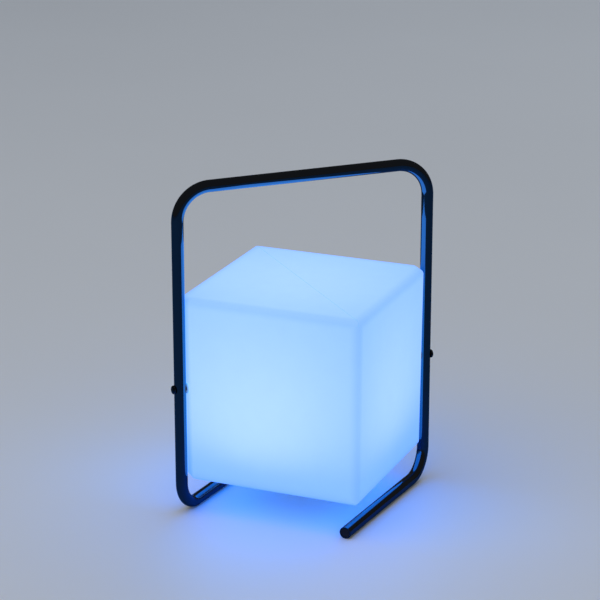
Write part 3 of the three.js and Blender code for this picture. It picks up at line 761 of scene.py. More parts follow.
def nylon(colours):
    """Natural nylon, with a painted glow that stands in for the shell's light shining through it."""
    look, tree, shader = start_finish("nylon", colours.nylon,
                                      metallic=0.0, roughness=0.46, spread=0.08, drift=0.05,
                                      drift_scale=150.0, smudge_scale=200.0)
    # Painted glow: emission in place of the shell's light shining through the washer.
    through = place_effect(tree, "Colour drift", color=opaque(colours.nylon_painted_glow), drift=0.1, scale=300.0)
    tree.links.new(through["Color"], shader.inputs["Emission Color"])
    shader.inputs["Emission Strength"].default_value = 1.0
    add_grain(tree, shader, scale=2500.0, depth=0.00001)
    return look


def white_plastic(colours):
    """White moulded plastic with a spark-eroded grain."""
    look, tree, shader = start_finish("white_plastic", colours.white_plastic,
                                      metallic=0.0, roughness=0.42, spread=0.1, drift=0.03,
                                      drift_scale=30.0, smudge_scale=60.0)
    add_grain(tree, shader, scale=1800.0, depth=0.000025)
    return look


def seal_rubber(colours):
    """Soft silicone rubber."""
    look, tree, shader = start_finish("seal_rubber", colours.seal_rubber,
                                      metallic=0.0, roughness=0.62, spread=0.12, drift=0.08,
                                      drift_scale=120.0, smudge_scale=150.0)
    add_grain(tree, shader, scale=3000.0, depth=0.00001)
    return look


def opal_lens(colours):
    """Opal lens that spreads the light of the chips."""
    look, tree, shader = start_finish("opal_lens", colours.lens,
                                      metallic=0.0, roughness=0.2, spread=0.06, drift=0.02,
                                      drift_scale=40.0, smudge_scale=60.0)
    add_grain(tree, shader, scale=1200.0, depth=0.00001)
    return look


def plated_steel(colours):
    """Zinc plated steel."""
    look, tree, shader = start_finish("plated_steel", colours.plated_steel,
                                      metallic=1.0, roughness=0.3, spread=0.12, drift=0.12,
                                      drift_scale=300.0, smudge_scale=500.0)
    add_grain(tree, shader, scale=3500.0, depth=0.000008)
    return look


def board_finish(name, rgb, trace, width):
    """A printed board with a faint grid of copper traces under its lacquer."""
    look, tree, shader = start_finish(name, rgb,
                                      metallic=0.0, roughness=0.32, spread=0.08, drift=0.06,
                                      drift_scale=80.0, smudge_scale=120.0)
    trace_share, trace_height = 0.6, 0.00003
    traces = add_node(tree, "ShaderNodeTexBrick", {
        "Vector": piece_place(tree),
        "Scale": 140.0,
        "Mortar Size": width,
        "Mortar Smooth": 0.2,
        "Color1": BLACK,
        "Color2": BLACK,
        "Mortar": WHITE,
    })
    mask = maths(tree, "MULTIPLY", traces.outputs["Color"], trace_share)
    tree.links.new(mixed(tree, mask, base_colour(shader), opaque(trace)), shader.inputs["Base Color"])
    bump = add_node(tree, "ShaderNodeBump", {"Height": traces.outputs["Color"], "Distance": trace_height})
    tree.links.new(bump.outputs["Normal"], shader.inputs["Normal"])
    return look


def white_board(colours):
    """White lacquered board of the lights."""
    return board_finish("white_board", colours.white_board, (0.62, 0.62, 0.58), 0.03)


def green_board(colours):
    """Green control board."""
    return board_finish("green_board", colours.green_board, (0.03, 0.2, 0.07), 0.04)


def lamp_package(colours):
    """Light chip: a cream package with a phosphor well that glows."""
    look, tree, shader = start_finish("lamp_package", colours.lamp_package,
                                      metallic=0.0, roughness=0.34, spread=0.05, drift=0.03,
                                      drift_scale=300.0, smudge_scale=400.0)
    facing = tree.nodes.new("ShaderNodeTexCoord").outputs["Normal"]
    up = parts_of(tree, facing)["Z"]
    height = parts_of(tree, piece_place(tree))["Z"]
    well_depth = 0.0003
    sunk = maths(tree, "LESS_THAN", height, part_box("light_chip_1")[1].z - well_depth)
    well = maths(tree, "MULTIPLY", maths(tree, "GREATER_THAN", up, 0.5), sunk)
    tree.links.new(mixed(tree, well, base_colour(shader), opaque(colours.phosphor)),
                   shader.inputs["Base Color"])
    tree.links.new(scaled(tree, tuple(colours.chip_glow), well), shader.inputs["Emission Color"])
    shader.inputs["Emission Strength"].default_value = 1.0
    return look


def chip_black(colours):
    """Black moulded chip package."""
    look, tree, shader = start_finish("chip_black", colours.chip_black,
                                      metallic=0.0, roughness=0.5, spread=0.1, drift=0.2,
                                      drift_scale=200.0, smudge_scale=300.0)
    add_grain(tree, shader, scale=4000.0, depth=0.00001)
    return look


def cell_wrap(colours, cell):
    """Blue shrink sleeve with bare metal at both ends."""
    look, tree, shader = start_finish("cell_wrap", colours.cell_wrap,
                                      metallic=0.0, roughness=0.3, spread=0.08, drift=0.05,
                                      drift_scale=60.0, smudge_scale=80.0)
    low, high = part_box("battery_cell_1")
    along = parts_of(tree, piece_place(tree))["X"]
    from_middle = maths(tree, "ABSOLUTE", maths(tree, "SUBTRACT", along, (low.x + high.x) / 2))
    bare = maths(tree, "GREATER_THAN", from_middle, (high.x - low.x) / 2 - cell.bare_end)
    tree.links.new(mixed(tree, bare, base_colour(shader), opaque(colours.cell_can)),
                   shader.inputs["Base Color"])
    tree.links.new(bare, shader.inputs["Metallic"])
    return look


def button_rubber(colours):
    """Grey rubber of the button and the port plug."""
    look, tree, shader = start_finish("button_rubber", colours.button_rubber,
                                      metallic=0.0, roughness=0.6, spread=0.1, drift=0.1,
                                      drift_scale=120.0, smudge_scale=160.0)
    add_grain(tree, shader, scale=2200.0, depth=0.00002)
    return look


def floor_finish(colours):
    """Plain pale floor with a faint change of tone, darker in reflections than to the camera."""
    look, tree, shader = start_finish("studio_floor", colours.floor,
                                      metallic=0.0, roughness=0.55, spread=0.06, drift=0.02,
                                      drift_scale=1.2, smudge_scale=3.0)
    add_grain(tree, shader, scale=300.0, depth=0.00002, softness=0.8)
    mirrored = tree.nodes.new("ShaderNodeLightPath").outputs["Is Glossy Ray"]
    tree.links.new(mixed(tree, mirrored, base_colour(shader), opaque(colours.floor_mirrored)),
                   shader.inputs["Base Color"])
    return look


def finish_for(slot):
    """The finish of a material slot, built the first time it is used."""
    made = bpy.data.materials.get(slot)
    if made and made.get("lantern_finish"):
        return made
    if made:
        made.name = f"{slot}_plain"
    scene = bpy.context.scene
    more = {
        "glowing_shell": (scene.lantern_shell, scene.lantern_glow),
        "cell_wrap": (scene.lantern_cells,),
    }
    look = FINISHES[slot](scene.lantern_colours, *more.get(slot, ()))
    look["lantern_finish"] = True
    return look


FINISHES = {
    "dark_chrome": dark_chrome,
    "black_plastic": black_plastic,
    "glowing_shell": glowing_shell,
    "dark_steel": dark_steel,
    "brass": brass,
    "nylon": nylon,
    "white_plastic": white_plastic,
    "seal_rubber": seal_rubber,
    "opal_lens": opal_lens,
    "plated_steel": plated_steel,
    "white_board": white_board,
    "green_board": green_board,
    "lamp_package": lamp_package,
    "chip_black": chip_black,
    "cell_wrap": cell_wrap,
    "button_rubber": button_rubber,
    "studio_floor": floor_finish,
}


# ---------------------------------------------------------------- the stand


def bent_path(corners):
    """Places and directions along straight runs and bends, from (corner, bend radius) pairs."""
    places = [corner for corner, radius in corners]
    runs = [(after - before).normalized() for before, after in zip(places, places[1:])]
    stations = [(places[0], runs[0])]
    for (corner, radius), arriving, leaving in zip(corners[1:-1], runs, runs[1:]):
        turn = arriving.angle(leaving)
        if turn < STRAIGHT:
            stations.append((corner, arriving))
            continue
        axis = arriving.cross(leaving).normalized()
        start = corner - arriving * radius * math.tan(turn / 2)
        centre = start + axis.cross(arriving) * radius
        for step in range(BEND_STEPS + 1):
            swing = Matrix.Rotation(turn * step / BEND_STEPS, 3, axis)
            stations.append((centre + swing @ (start - centre), swing @ arriving))
    stations.append((places[-1], runs[-1]))
    return stations


def swept_tube(stations, outer, inner, lip, sides):
    """A hollow tube along a path, with rounded lips at both ends."""
    mesh = bmesh.new()
    across = stations[0][1].orthogonal().normalized()
    before = stations[0][1]
    arc = [math.pi / 2 * step / ARC_STEPS for step in range(ARC_STEPS + 1)]
    rounding = [(lip * (1 - math.sin(angle)), lip * (1 - math.cos(angle))) for angle in arc]
    at_end = {0: rounding[::-1], len(stations) - 1: rounding}
    skins = ([], [])
    for number, (place, direction) in enumerate(stations):
        across = before.rotation_difference(direction) @ across
        beside = direction.cross(across)
        before = direction
        inwards = direction if number == 0 else -direction
        for back, thinner in at_end.get(number, [(0, 0)]):
            for rings, radius in zip(skins, (outer - thinner, inner + thinner)):
                ring = []
                for index in range(sides):
                    angle = 2 * math.pi * index / sides
                    spoke = across * math.cos(angle) + beside * math.sin(angle)
                    ring.append(mesh.verts.new(place + inwards * back + spoke * radius))
                rings.append(ring)
    strips = [pair for rings in skins for pair in zip(rings, rings[1:])]
    strips += [(skins[0][end], skins[1][end]) for end in (0, -1)]
    for first, second in strips:
        for index in range(sides):
            after = (index + 1) % sides
            mesh.faces.new((first[index], first[after], second[after], second[index]))
    return mesh


def foot_direction():
    """From the right upright's foot along the floor to the right foot's end."""
    upright = Vector((STAND_HIGH.x, 0, 0))
    rest = Vector(MOUNTS["right_foot_rest"]["pos_m"])
    upright.x -= bpy.context.scene.lantern_stand.tube_diameter / 2
    return (rest - upright).normalized()


def build_carry_frame(stand, fits):
    """Right foot, right upright, handle, left upright and left foot, with a pivot hole in each upright."""
    radius = stand.tube_diameter / 2
    upright = STAND_HIGH.x - radius
    handle = STAND_HIGH.z - radius
    foot = foot_direction() * stand.foot_reach
    near_hole = Vector((0, 0, radius))

    def corners_on(side):
        low = Vector((side * upright, 0, radius))
        pivot = Vector((side * upright, 0, PIVOT.z))
        return [
            (low + side * foot, 0),
            (low, stand.foot_bend),
            (pivot - near_hole, 0),
            (pivot + near_hole, 0),
            (Vector((side * upright, 0, handle)), stand.handle_bend),
        ]

    path = bent_path(corners_on(1) + corners_on(-1)[::-1])
    tube = as_piece("bent_tube", swept_tube(path, radius, radius - stand.tube_wall, stand.lip, TUBE_SIDES))
    hole = bpy.context.scene.lantern_pivot.thread / 2 + fits.slide
    reach = upright + stand.tube_diameter
    drills = [bar(hole, Vector((side * (upright - stand.tube_diameter), 0, PIVOT.z)),
                  Vector((side * reach, 0, PIVOT.z))) for side in SIDES.values()]
    return cut(tube, drills)


def build_foot_plug(name, side, stand, fits):
    """An end plug inside the tube: a crowned outer face, and a stem with grip ribs."""
    bore = stand.tube_diameter / 2 - stand.tube_wall
    stem = bore - fits.slide
    rim = bore - fits.contact / 2
    rib = 0.6 * fits.slide
    rim_height = 3 * stand.plug_rounding
    crown = [(rim * step / ARC_STEPS, stand.plug_crown * ((step / ARC_STEPS) ** 2 - 1), 0)
             for step in range(ARC_STEPS)]
    corners = crown + [
        (rim, 0, stand.plug_rounding),
        (rim, rim_height, 0),
        (stem, rim_height, 0),
    ]
    for rib_share in (0.3, 0.5, 0.7):
        place = rib_share * stand.plug_length
        corners += [(stem, place - 2 * rib, 0), (stem + rib, place, 0), (stem, place + 2 * rib, 0)]
    corners += [(stem, stand.plug_length, stand.plug_rounding), (0, stand.plug_length, 0)]
    outward = foot_direction() * side
    upright = Vector((side * (STAND_HIGH.x - stand.tube_diameter / 2), 0, stand.tube_diameter / 2))
    face = upright + outward * (stand.foot_reach - stand.plug_recess)
    return turned_piece(name, corners, face, TUBE_SIDES, facing=-outward)


class LANTERN_OT_carry_frame(bpy.types.Operator):
    """Bends the tube of the carrying stand"""

    bl_idname = "lantern.carry_frame"
    bl_label = "Carry frame"

    def execute(self, context):
        scene = context.scene
        tube = build_carry_frame(scene.lantern_stand, scene.lantern_fits)
        finished(tube, "stand", finish_for("dark_chrome"), "dark_chrome", "carry_frame")
        return {"FINISHED"}


class LANTERN_OT_foot_plugs(bpy.types.Operator):
    """Turns the end plugs of both feet"""

    bl_idname = "lantern.foot_plugs"
    bl_label = "Foot plugs"

    def execute(self, context):
        scene = context.scene
        for name, side in SIDES.items():
            plug = build_foot_plug(f"end_plug_{name}", side, scene.lantern_stand, scene.lantern_fits)
            finished(plug, "stand", finish_for("black_plastic"), "black_plastic", f"foot_plug_{name}")
        return {"FINISHED"}


# ---------------------------------------------------------------- the cube


def shell_outline(sizes, inset, corner):
    """The cube seen from above: a square on its corner, with its left and right corners cut flat."""
    tip = (sizes.width / 2 - inset) * math.sqrt(2)
    flat = (sizes.width * math.sqrt(2) - sizes.flat_width) / 2 - inset
    tip_middle = tip - corner * math.sqrt(2)
    flat_middle = flat - corner
    rise = tip - flat - corner * math.tan(math.pi / 8)
    arcs = [
        (0, -tip_middle, -135, -45),
        (flat_middle, -rise, -45, 0),
        (flat_middle, rise, 0, 45),
        (0, tip_middle, 45, 135),
        (-flat_middle, rise, 135, 180),
        (-flat_middle, -rise, 180, 225),
    ]
    outline = []
    for x, y, start, end in arcs:
        for step in range(ARC_STEPS + 1):
            angle = math.radians(start + (end - start) * step / ARC_STEPS)
            outline.append(Vector((x + corner * math.cos(angle), y + corner * math.sin(angle), 0)))
    return outline


def rounded_cube(name, sizes, inset):
    """A tapered cube with every edge rounded, its sides an inset inside the outer faces."""
    radius = sizes.edge - inset
    half = (SHELL_HIGH.z - SHELL_LOW.z) / 2
    middle_height = (SHELL_HIGH.z + SHELL_LOW.z) / 2
    levels = []
    for side, order in ((-1, range(ARC_STEPS, -1, -1)), (1, range(ARC_STEPS + 1))):
        for step in order:
            angle = math.pi / 2 * step / ARC_STEPS
            height = side * (half - inset - radius * (1 - math.sin(angle)))
            levels.append((inset + radius * (1 - math.cos(angle)), radius * math.cos(angle), height))
    mesh = bmesh.new()
    rings = []
    for pulled_in, corner, height in levels:
        spread = 1 + sizes.draft / sizes.width * height / (2 * half)
        lift = Vector((0, 0, middle_height + height))
        rings.append([mesh.verts.new(point * spread + lift)
                      for point in shell_outline(sizes, pulled_in, corner)])
    count = len(rings[0])
    for low, high in zip(rings, rings[1:]):
        for index in range(count):
            after = (index + 1) % count
            mesh.faces.new((low[index], low[after], high[after], high[index]))
    mesh.faces.new(rings[0])
    mesh.faces.new(rings[-1])
    bmesh.ops.remove_doubles(mesh, verts=mesh.verts, dist=SAME_PLACE)
    return as_piece(name, mesh)


def flange_screw_places():
    """The middles of the four housing screws."""
    return [middle(f"flange_screw_{number}") for number in range(1, 5)]


def build_shell(sizes, fits, module):
    """The hollow cube with its pocket, opening, bosses and parting line."""
    centre = Vector((0, 0, 0))
    flange = half_width("module_housing")
    pocket = flange + 2 * fits.slide
    cup = half_width("lens_seal") + fits.contact
    land = sizes.pocket_depth + sizes.wall
    screw_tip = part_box("flange_screw_1")[1].z - UNDERSIDE
    screw_hole = module.screw_diameter / 2 + fits.slide
    insert_low, insert_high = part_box("pivot_insert_right")
    insert = (insert_high.z - insert_low.z) / 2

    shell = cut(rounded_cube("lantern_shell", sizes, 0), [rounded_cube("hollow", sizes, sizes.wall)])
    additions = [upright_bar(pocket + sizes.wall, centre, sizes.wall / 2, land, ROUND_SIDES)]
    additions += [upright_bar(screw_hole + sizes.screw_boss_wall, place, land - sizes.wall / 2,
                              screw_tip + sizes.screw_boss_wall) for place in flange_screw_places()]
    for side in SIDES.values():
        start = Vector((side * (insert_low.x - sizes.boss_wall), 0, PIVOT.z))
        end = Vector((side * (insert_high.x - sizes.wall / 2), 0, PIVOT.z))
        additions.append(bar(insert + sizes.boss_wall, start, end, ROUND_SIDES))
    join(shell, additions)

    seam = block((sizes.parting_width, sizes.width * 2, 2 * sizes.edge), Vector((0, 0, SHELL_HIGH.z)))
    cutters = [cut(seam, [rounded_cube("core", sizes, sizes.parting_depth)])]
    cutters.append(upright_bar(pocket, centre, -sizes.pocket_depth, sizes.pocket_depth, ROUND_SIDES))
    cutters.append(upright_bar(cup + fits.opening, centre, 0, land + sizes.wall, ROUND_SIDES))
    cutters += [upright_bar(screw_hole, place, 0, screw_tip + fits.contact)
                for place in flange_screw_places()]
    for side in SIDES.values():
        start = Vector((side * (insert_low.x - fits.contact), 0, PIVOT.z))
        end = Vector((side * (insert_high.x + 2 * sizes.wall), 0, PIVOT.z))
        cutters.append(bar(insert + fits.contact, start, end))
    return cut(shell, cutters)


class LANTERN_OT_cube_shell(bpy.types.Operator):
    """Moulds the hollow cube"""

    bl_idname = "lantern.cube_shell"
    bl_label = "Cube shell"

    def execute(self, context):
        scene = context.scene
        shell = build_shell(scene.lantern_shell, scene.lantern_fits, scene.lantern_module)
        finished(shell, "lantern", finish_for("glowing_shell"), "glowing_shell", "cube_shell")
        return {"FINISHED"}


# ---------------------------------------------------------------- pivot hardware


def build_pivot_screw(name, side, pivot, fits):
    """A button head screw with a hexagon socket, its head outside the upright."""
    low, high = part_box("pivot_screw_right")
    head_radius = (high.z - low.z) / 2
    seat = STAND_HIGH.x + fits.contact
    head_height = high.x - seat
    shank_length = seat - low.x
    shank = pivot.thread / 2
    flat = pivot.head_flat / 2
    chamfer = 0.6 * pivot.thread_pitch
    hexagon = 6
    corners = [(0, -shank_length, 0), (shank - chamfer, -shank_length, 0), (shank, chamfer - shank_length, 0),
               (shank, 0, 0), (head_radius, 0, 0)]
    for step in range(ARC_STEPS + 1):
        angle = math.pi / 2 * step / ARC_STEPS
        height = pivot.head_rim + (head_height - pivot.head_rim) * math.sin(angle)
        corners.append((flat + (head_radius - flat) * math.cos(angle), height, 0))
    corners.append((0, head_height, 0))
    facing = Vector((side, 0, 0))
    place = Vector((side * seat, 0, PIVOT.z))
    screw = turned_piece(name, corners, place, SMALL_SIDES, facing=facing)
    bottom = place + facing * (head_height - pivot.socket_depth)
    socket = bar(pivot.socket_width / math.sqrt(3), bottom, place + facing * 2 * head_height, hexagon)
    return cut(screw, [socket])


def build_washer(name, side, pivot, fits):
    """A friction washer with softened rims."""
    low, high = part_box("pivot_washer_right")
    outer = (high.z - low.z) / 2
    hole = pivot.thread / 2 + fits.slide
    thickness = high.x - low.x
    corners = [(hole, 0, 0), (outer, 0, fits.contact), (outer, thickness, fits.contact), (hole, thickness, 0)]
    place = Vector((side * low.x, 0, PIVOT.z))
    return turned_piece(name, corners, place, SMALL_SIDES, closed=True, facing=Vector((side, 0, 0)))


def build_insert(name, side, pivot, fits):
    """A threaded insert with grip grooves round it."""
    low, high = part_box("pivot_insert_right")
    outer = (high.z - low.z) / 2
    hole = pivot.thread / 2 + fits.slide
    run = high.x - low.x
    depth = fits.slide
    grooves = 3
    corners = [(hole, 0, 0), (outer, 0, fits.contact)]
    for number in range(1, grooves + 1):
        height = run * number / (grooves + 1)
        half = pivot.thread_pitch / 2
        corners += [(outer, height - half, 0), (outer - depth, height - half, 0),
                    (outer - depth, height + half, 0), (outer, height + half, 0)]
    corners += [(outer, run, fits.contact), (hole, run, 0)]
    place = Vector((side * low.x, 0, PIVOT.z))
    return turned_piece(name, corners, place, SMALL_SIDES, closed=True, facing=Vector((side, 0, 0)))


class LANTERN_OT_pivots(bpy.types.Operator):
    """Turns the pivot screws, their washers and their inserts"""

    bl_idname = "lantern.pivots"
    bl_label = "Pivot screws, washers and inserts"

    def execute(self, context):
        scene = context.scene
        kinds = [
            ("button_head_screw", build_pivot_screw, "dark_steel", "pivot_screw"),
            ("friction_washer", build_washer, "nylon", "pivot_washer"),
            ("threaded_insert", build_insert, "brass", "pivot_insert"),
        ]
        for side_name, side in SIDES.items():
            for name, build, slot, node in kinds:
                piece = build(f"{name}_{side_name}", side, scene.lantern_pivot, scene.lantern_fits)
                finished(piece, "lantern", finish_for(slot), slot, f"{node}_{side_name}")
        return {"FINISHED"}


# ---------------------------------------------------------------- lamp module


def build_housing(module, fits):
    """The flanged cup, with posts for the boards, counterbored screw holes and both openings."""
    flange = half_width("module_housing")
    cup = half_width("lens_seal") + fits.contact
    bore = cup - module.cup_wall
    low = FLANGE_LOW.z - UNDERSIDE
    top = low + module.flange_thickness
    cup_top = CUP_HIGH.z - UNDERSIDE
    groove_outer = half_width("module_seal") + fits.contact
    groove_inner = groove_outer - module.seal_width - 2 * fits.contact
    groove = top - module.groove_depth
    corners = [
        (0, low, 0), (flange, low, module.flange_rounding), (flange, top, fits.contact),
        (groove_outer, top, 0), (groove_outer, groove, 0), (groove_inner, groove, 0), (groove_inner, top, 0),
        (cup, top, 0), (cup, cup_top, fits.slide), (bore, cup_top, fits.slide), (bore, top, fits.slide),
        (0, top, 0),
    ]
    housing = turned_piece("lamp_housing", corners, Vector((0, 0, UNDERSIDE)))
    pilot = module.board_screw / 2 + fits.slide
    posts = []
    pilots = []
    for board, screws in (("light_board", 4), ("control_board", 2)):
        board_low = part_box(board)[0].z - UNDERSIDE
        for number in range(1, screws + 1):
            place = middle(f"{board}_screw_{number}")
            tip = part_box(f"{board}_screw_{number}")[0].z - UNDERSIDE
            posts.append(upright_bar(module.post_radius, place, top - low, board_low - fits.contact))
            pilots.append(upright_bar(pilot, place, max(top, tip - fits.contact), board_low))
    join(housing, posts)

    button, port = middle("power_button"), middle("charge_port_plug")
    button_bore = module.button_diameter / 2 + fits.slide
    recess = button_bore + module.recess_margin
    past = -module.flange_thickness
    head = half_width("flange_screw_1") + fits.slide
    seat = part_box("flange_screw_1")[0].z - UNDERSIDE + module.head_height + fits.contact
    socket_low, socket_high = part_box("charge_socket")
    slot = Vector((socket_high.x - socket_low.x, socket_high.y - socket_low.y, 4 * module.flange_thickness))
    cutters = pilots
    for place in flange_screw_places():
        cutters.append(upright_bar(module.screw_diameter / 2 + fits.slide, place, past, 2 * top))
        cutters.append(upright_bar(head, place, past, seat))
    port_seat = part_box("charge_port_plug")[0].z - UNDERSIDE + module.plug_thickness + fits.contact
    cutters += [
        upright_bar(button_bore, button, past, 2 * top),
        upright_bar(recess, button, past, low + module.button_recess, ROUND_SIDES),
        upright_bar(half_width("charge_port_plug") + fits.slide, port, past, port_seat, ROUND_SIDES),
        block(slot, Vector((port.x, port.y, UNDERSIDE))),
    ]
    return cut(housing, cutters)


def build_flange_screw(name, place, module):
    """A pan head screw seen from below, with a cross recess."""
    low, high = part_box("flange_screw_1")
    head = (high.x - low.x) / 2
    shank = module.screw_diameter / 2
    height = high.z - low.z
    rounding = 0.55 * module.head_height
    corners = [
        (0, 0, 0), (head, 0, rounding), (head, module.head_height, 0),
        (shank, module.head_height, 0), (shank, height - shank, 0), (shank / 4, height, 0), (0, height, 0),
    ]
    bottom = Vector((place.x, place.y, low.z))
    screw = turned_piece(name, corners, bottom, SMALL_SIDES)
    blade = Vector((1.15 * head, 0.24 * head, 1.1 * module.head_height))
    slots = [block(blade, bottom, math.radians(slot_turn)) for slot_turn in (20, 110)]
    return cut(screw, slots)


def build_button(module, fits):
    """The rubber button: a dished face with a raised ring, and the flange that it hangs on."""
    low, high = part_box("power_button")
    radius = module.button_diameter / 2
    height = high.z - low.z
    flange = (high.x - low.x) / 2
    dish = 0.72 * radius
    depth = fits.slide
    ring = 0.4 * radius
    corners = [(0, depth, 0)]
    corners += [(ring - fits.slide, depth, 0), (ring, depth - fits.contact, fits.contact / 3),
                (ring + fits.slide, depth, 0), (dish, depth, 0), (dish + fits.slide, 0, 0)]
    corners += [
        (radius, 0, module.button_edge), (radius, height - module.button_flange, 0),
        (flange, height - module.button_flange, 0), (flange, height, fits.contact), (0, height, 0),
    ]
    place = middle("power_button")
    return turned_piece("rubber_button", corners, Vector((place.x, place.y, low.z)))


def build_port_plug(module, fits):
    """The port plug: a round cap with a nail notch, and the stem that fills the socket."""
    low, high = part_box("charge_port_plug")
    place = middle("charge_port_plug")
    radius = (high.x - low.x) / 2
    corners = [(0, 0, 0), (radius, 0, module.plug_edge), (radius, module.plug_thickness, fits.contact),
               (0, module.plug_thickness, 0)]
    plug = turned_piece("rubber_port_plug", corners, Vector((place.x, place.y, low.z)))
    socket_low, socket_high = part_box("charge_socket")
    margin = 2 * (module.socket_wall + fits.slide)
    stem_low = low.z + module.plug_thickness / 2
    opening = socket_high - socket_low
    stem = block(Vector((opening.x - margin, opening.y - margin, high.z - stem_low)),
                 Vector((place.x, place.y, (high.z + stem_low) / 2)))
    join(plug, [stem])
    notch = Vector((place.x - radius, place.y, low.z - module.notch_drop))
    half_notch = Vector((0, module.notch_length / 2, 0))
    return cut(plug, [bar(module.notch_radius, notch - half_notch, notch + half_notch)])


def build_lens(module, fits):
    """The domed lens: a rim on the cup, a spigot inside it, and a dome with an even wall."""
    rim = half_width("lamp_lens")
    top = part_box("lamp_lens")[1].z - module.lens_rise - UNDERSIDE
    bottom = top - module.lens_wall
    spigot = half_width("lens_seal") + fits.contact - module.cup_wall - fits.slide
    dome = spigot - module.lens_wall
    shares = [step / DOME_STEPS for step in range(DOME_STEPS + 1)]
    corners = [(dome * share, bottom + module.lens_rise * (1 - share * share), 0) for share in shares]
    corners += [(dome, bottom - module.lens_spigot, 0), (spigot, bottom - module.lens_spigot, 0),
                (spigot, bottom, 0), (rim, bottom, fits.contact), (rim, top, fits.slide)]
    corners += [(spigot * share, top + module.lens_rise * (1 - share * share), 0)
                for share in reversed(shares)]
    return turned_piece("domed_lens", corners, Vector((0, 0, UNDERSIDE)))


def build_seal(name, node, width):
    """A seal ring with a rounded section, in the place of its CAD node."""
    low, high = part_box(node)
    outer = (high.x - low.x) / 2
    height = high.z - low.z
    soft = 0.45 * min(width, height)
    inner = outer - width
    corners = [(inner, 0, soft), (outer, 0, soft), (outer, height, soft), (inner, height, soft)]
    return turned_piece(name, corners, Vector((0, 0, low.z)), closed=True)


def build_cell(name, node, side, cell):
    """A round cell in its sleeve, with a crimp under its shoulder and a raised cap."""
    low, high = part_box(node)
    radius = (high.z - low.z) / 2
    run = high.x - low.x
    can = run - cell.cap_height
    dish, dish_rim = 0.7 * radius, 0.74 * radius
    crimp = can - cell.crimp_place
    deep = radius - cell.crimp_depth
    cap, cap_foot = 0.33 * radius, 0.42 * radius
    bottom, top = cell.crimp_width / 2, cell.crimp_width / 2 + cell.crimp_slope
    corners = [
        (0, cell.end_dish, 0), (dish, cell.end_dish, 0), (dish_rim, 0, 0), (radius, 0, cell.shoulder),
        (radius, crimp - top, 0), (deep, crimp - bottom, 0), (deep, crimp + bottom, 0),
        (radius, crimp + top, 0), (radius, can, cell.shoulder), (cap_foot, can, 0), (cap, can, 0),
        (cap, run, cell.cap_rounding), (0, run, 0),
    ]
    place = Vector((low.x if side > 0 else high.x, (low.y + high.y) / 2, (low.z + high.z) / 2))
    return turned_piece(name, corners, place, SMALL_SIDES, facing=Vector((side, 0, 0)))


class LANTERN_OT_housing(bpy.types.Operator):
    """Moulds the lamp module's housing"""

    bl_idname = "lantern.housing"
    bl_label = "Module housing"

    def execute(self, context):
        scene = context.scene
        housing = build_housing(scene.lantern_module, scene.lantern_fits)
        finished(housing, "lantern", finish_for("white_plastic"), "white_plastic", "module_housing")
        return {"FINISHED"}


class LANTERN_OT_flange_screws(bpy.types.Operator):
    """Turns the screws that hold the housing"""

    bl_idname = "lantern.flange_screws"
    bl_label = "Flange screws"

    def execute(self, context):
        for number, place in enumerate(flange_screw_places(), 1):
            screw = build_flange_screw(f"housing_screw_{number}", place, context.scene.lantern_module)
            finished(screw, "lantern", finish_for("plated_steel"), "plated_steel", f"flange_screw_{number}")
        return {"FINISHED"}


class LANTERN_OT_rubber_parts(bpy.types.Operator):
    """Moulds the power button and the charging port's plug"""

    bl_idname = "lantern.rubber_parts"
    bl_label = "Button and port plug"

    def execute(self, context):
        scene = context.scene
        rubber = finish_for("button_rubber")
        button = build_button(scene.lantern_module, scene.lantern_fits)
        finished(button, "power_button", rubber, "button_rubber", "power_button")
        plug = build_port_plug(scene.lantern_module, scene.lantern_fits)
        finished(plug, "charge_port_plug", rubber, "button_rubber", "charge_port_plug")
        return {"FINISHED"}


class LANTERN_OT_lens_and_seals(bpy.types.Operator):
    """Turns the domed lens and both seals"""

    bl_idname = "lantern.lens_and_seals"
    bl_label = "Lens and seals"

    def execute(self, context):
        scene = context.scene
        module, fits = scene.lantern_module, scene.lantern_fits
        lens = build_lens(module, fits)
        finished(lens, "lantern", finish_for("opal_lens"), "opal_lens", "lamp_lens")
        rubber = finish_for("seal_rubber")
        housing_seal = build_seal("housing_seal_ring", "module_seal", module.seal_width)
        finished(housing_seal, "lantern", rubber, "seal_rubber", "module_seal")
        lens_seal = build_seal("lens_seal_ring", "lens_seal", module.cup_wall - 2 * fits.contact)
        finished(lens_seal, "lantern", rubber, "seal_rubber", "lens_seal")
        return {"FINISHED"}


class LANTERN_OT_cells(bpy.types.Operator):
    """Turns both battery cells"""

    bl_idname = "lantern.cells"
    bl_label = "Battery cells"

    def execute(self, context):
        for number, side in ((1, 1), (2, -1)):
            cell = build_cell(f"round_cell_{number}", f"battery_cell_{number}", side,
                              context.scene.lantern_cells)
            finished(cell, "lantern", finish_for("cell_wrap"), "cell_wrap", f"battery_cell_{number}")
        return {"FINISHED"}


class LANTERN_OT_cad_finishes(bpy.types.Operator):
    """Gives every CAD piece that is still shown the finish of its slot"""

    bl_idname = "lantern.cad_finishes"
    bl_label = "Finishes of the inner pieces"

    def execute(self, context):
        for part in frame["record"]["subparts"]:
            node = frame["nodes"][part["node"]]
            if not node.hide_render:
                node.data.materials.clear()
                node.data.materials.append(finish_for(part["material_slot"]))
        return {"FINISHED"}


# ---------------------------------------------------------------- studio

# The soft lights: name, place, width in metres, power in watts, and tint.
SOFT_LIGHTS = (
    ("key_light", (-1.7, -0.8, 2.8), 3.6, 30, (1, 0.98, 0.95)),
    ("fill_light", (2.4, 1.6, 2.2), 2.6, 10, (0.85, 0.92, 1)),
)


def camera_axes(stage):
    """The camera's right, up and back directions."""
    turn, rise = stage.azimuth, stage.elevation
    right = Vector((math.cos(turn), math.sin(turn), 0))
    back = Vector((math.sin(turn) * math.cos(rise), -math.cos(turn) * math.cos(rise), math.sin(rise)))
    return right, back.cross(right), back


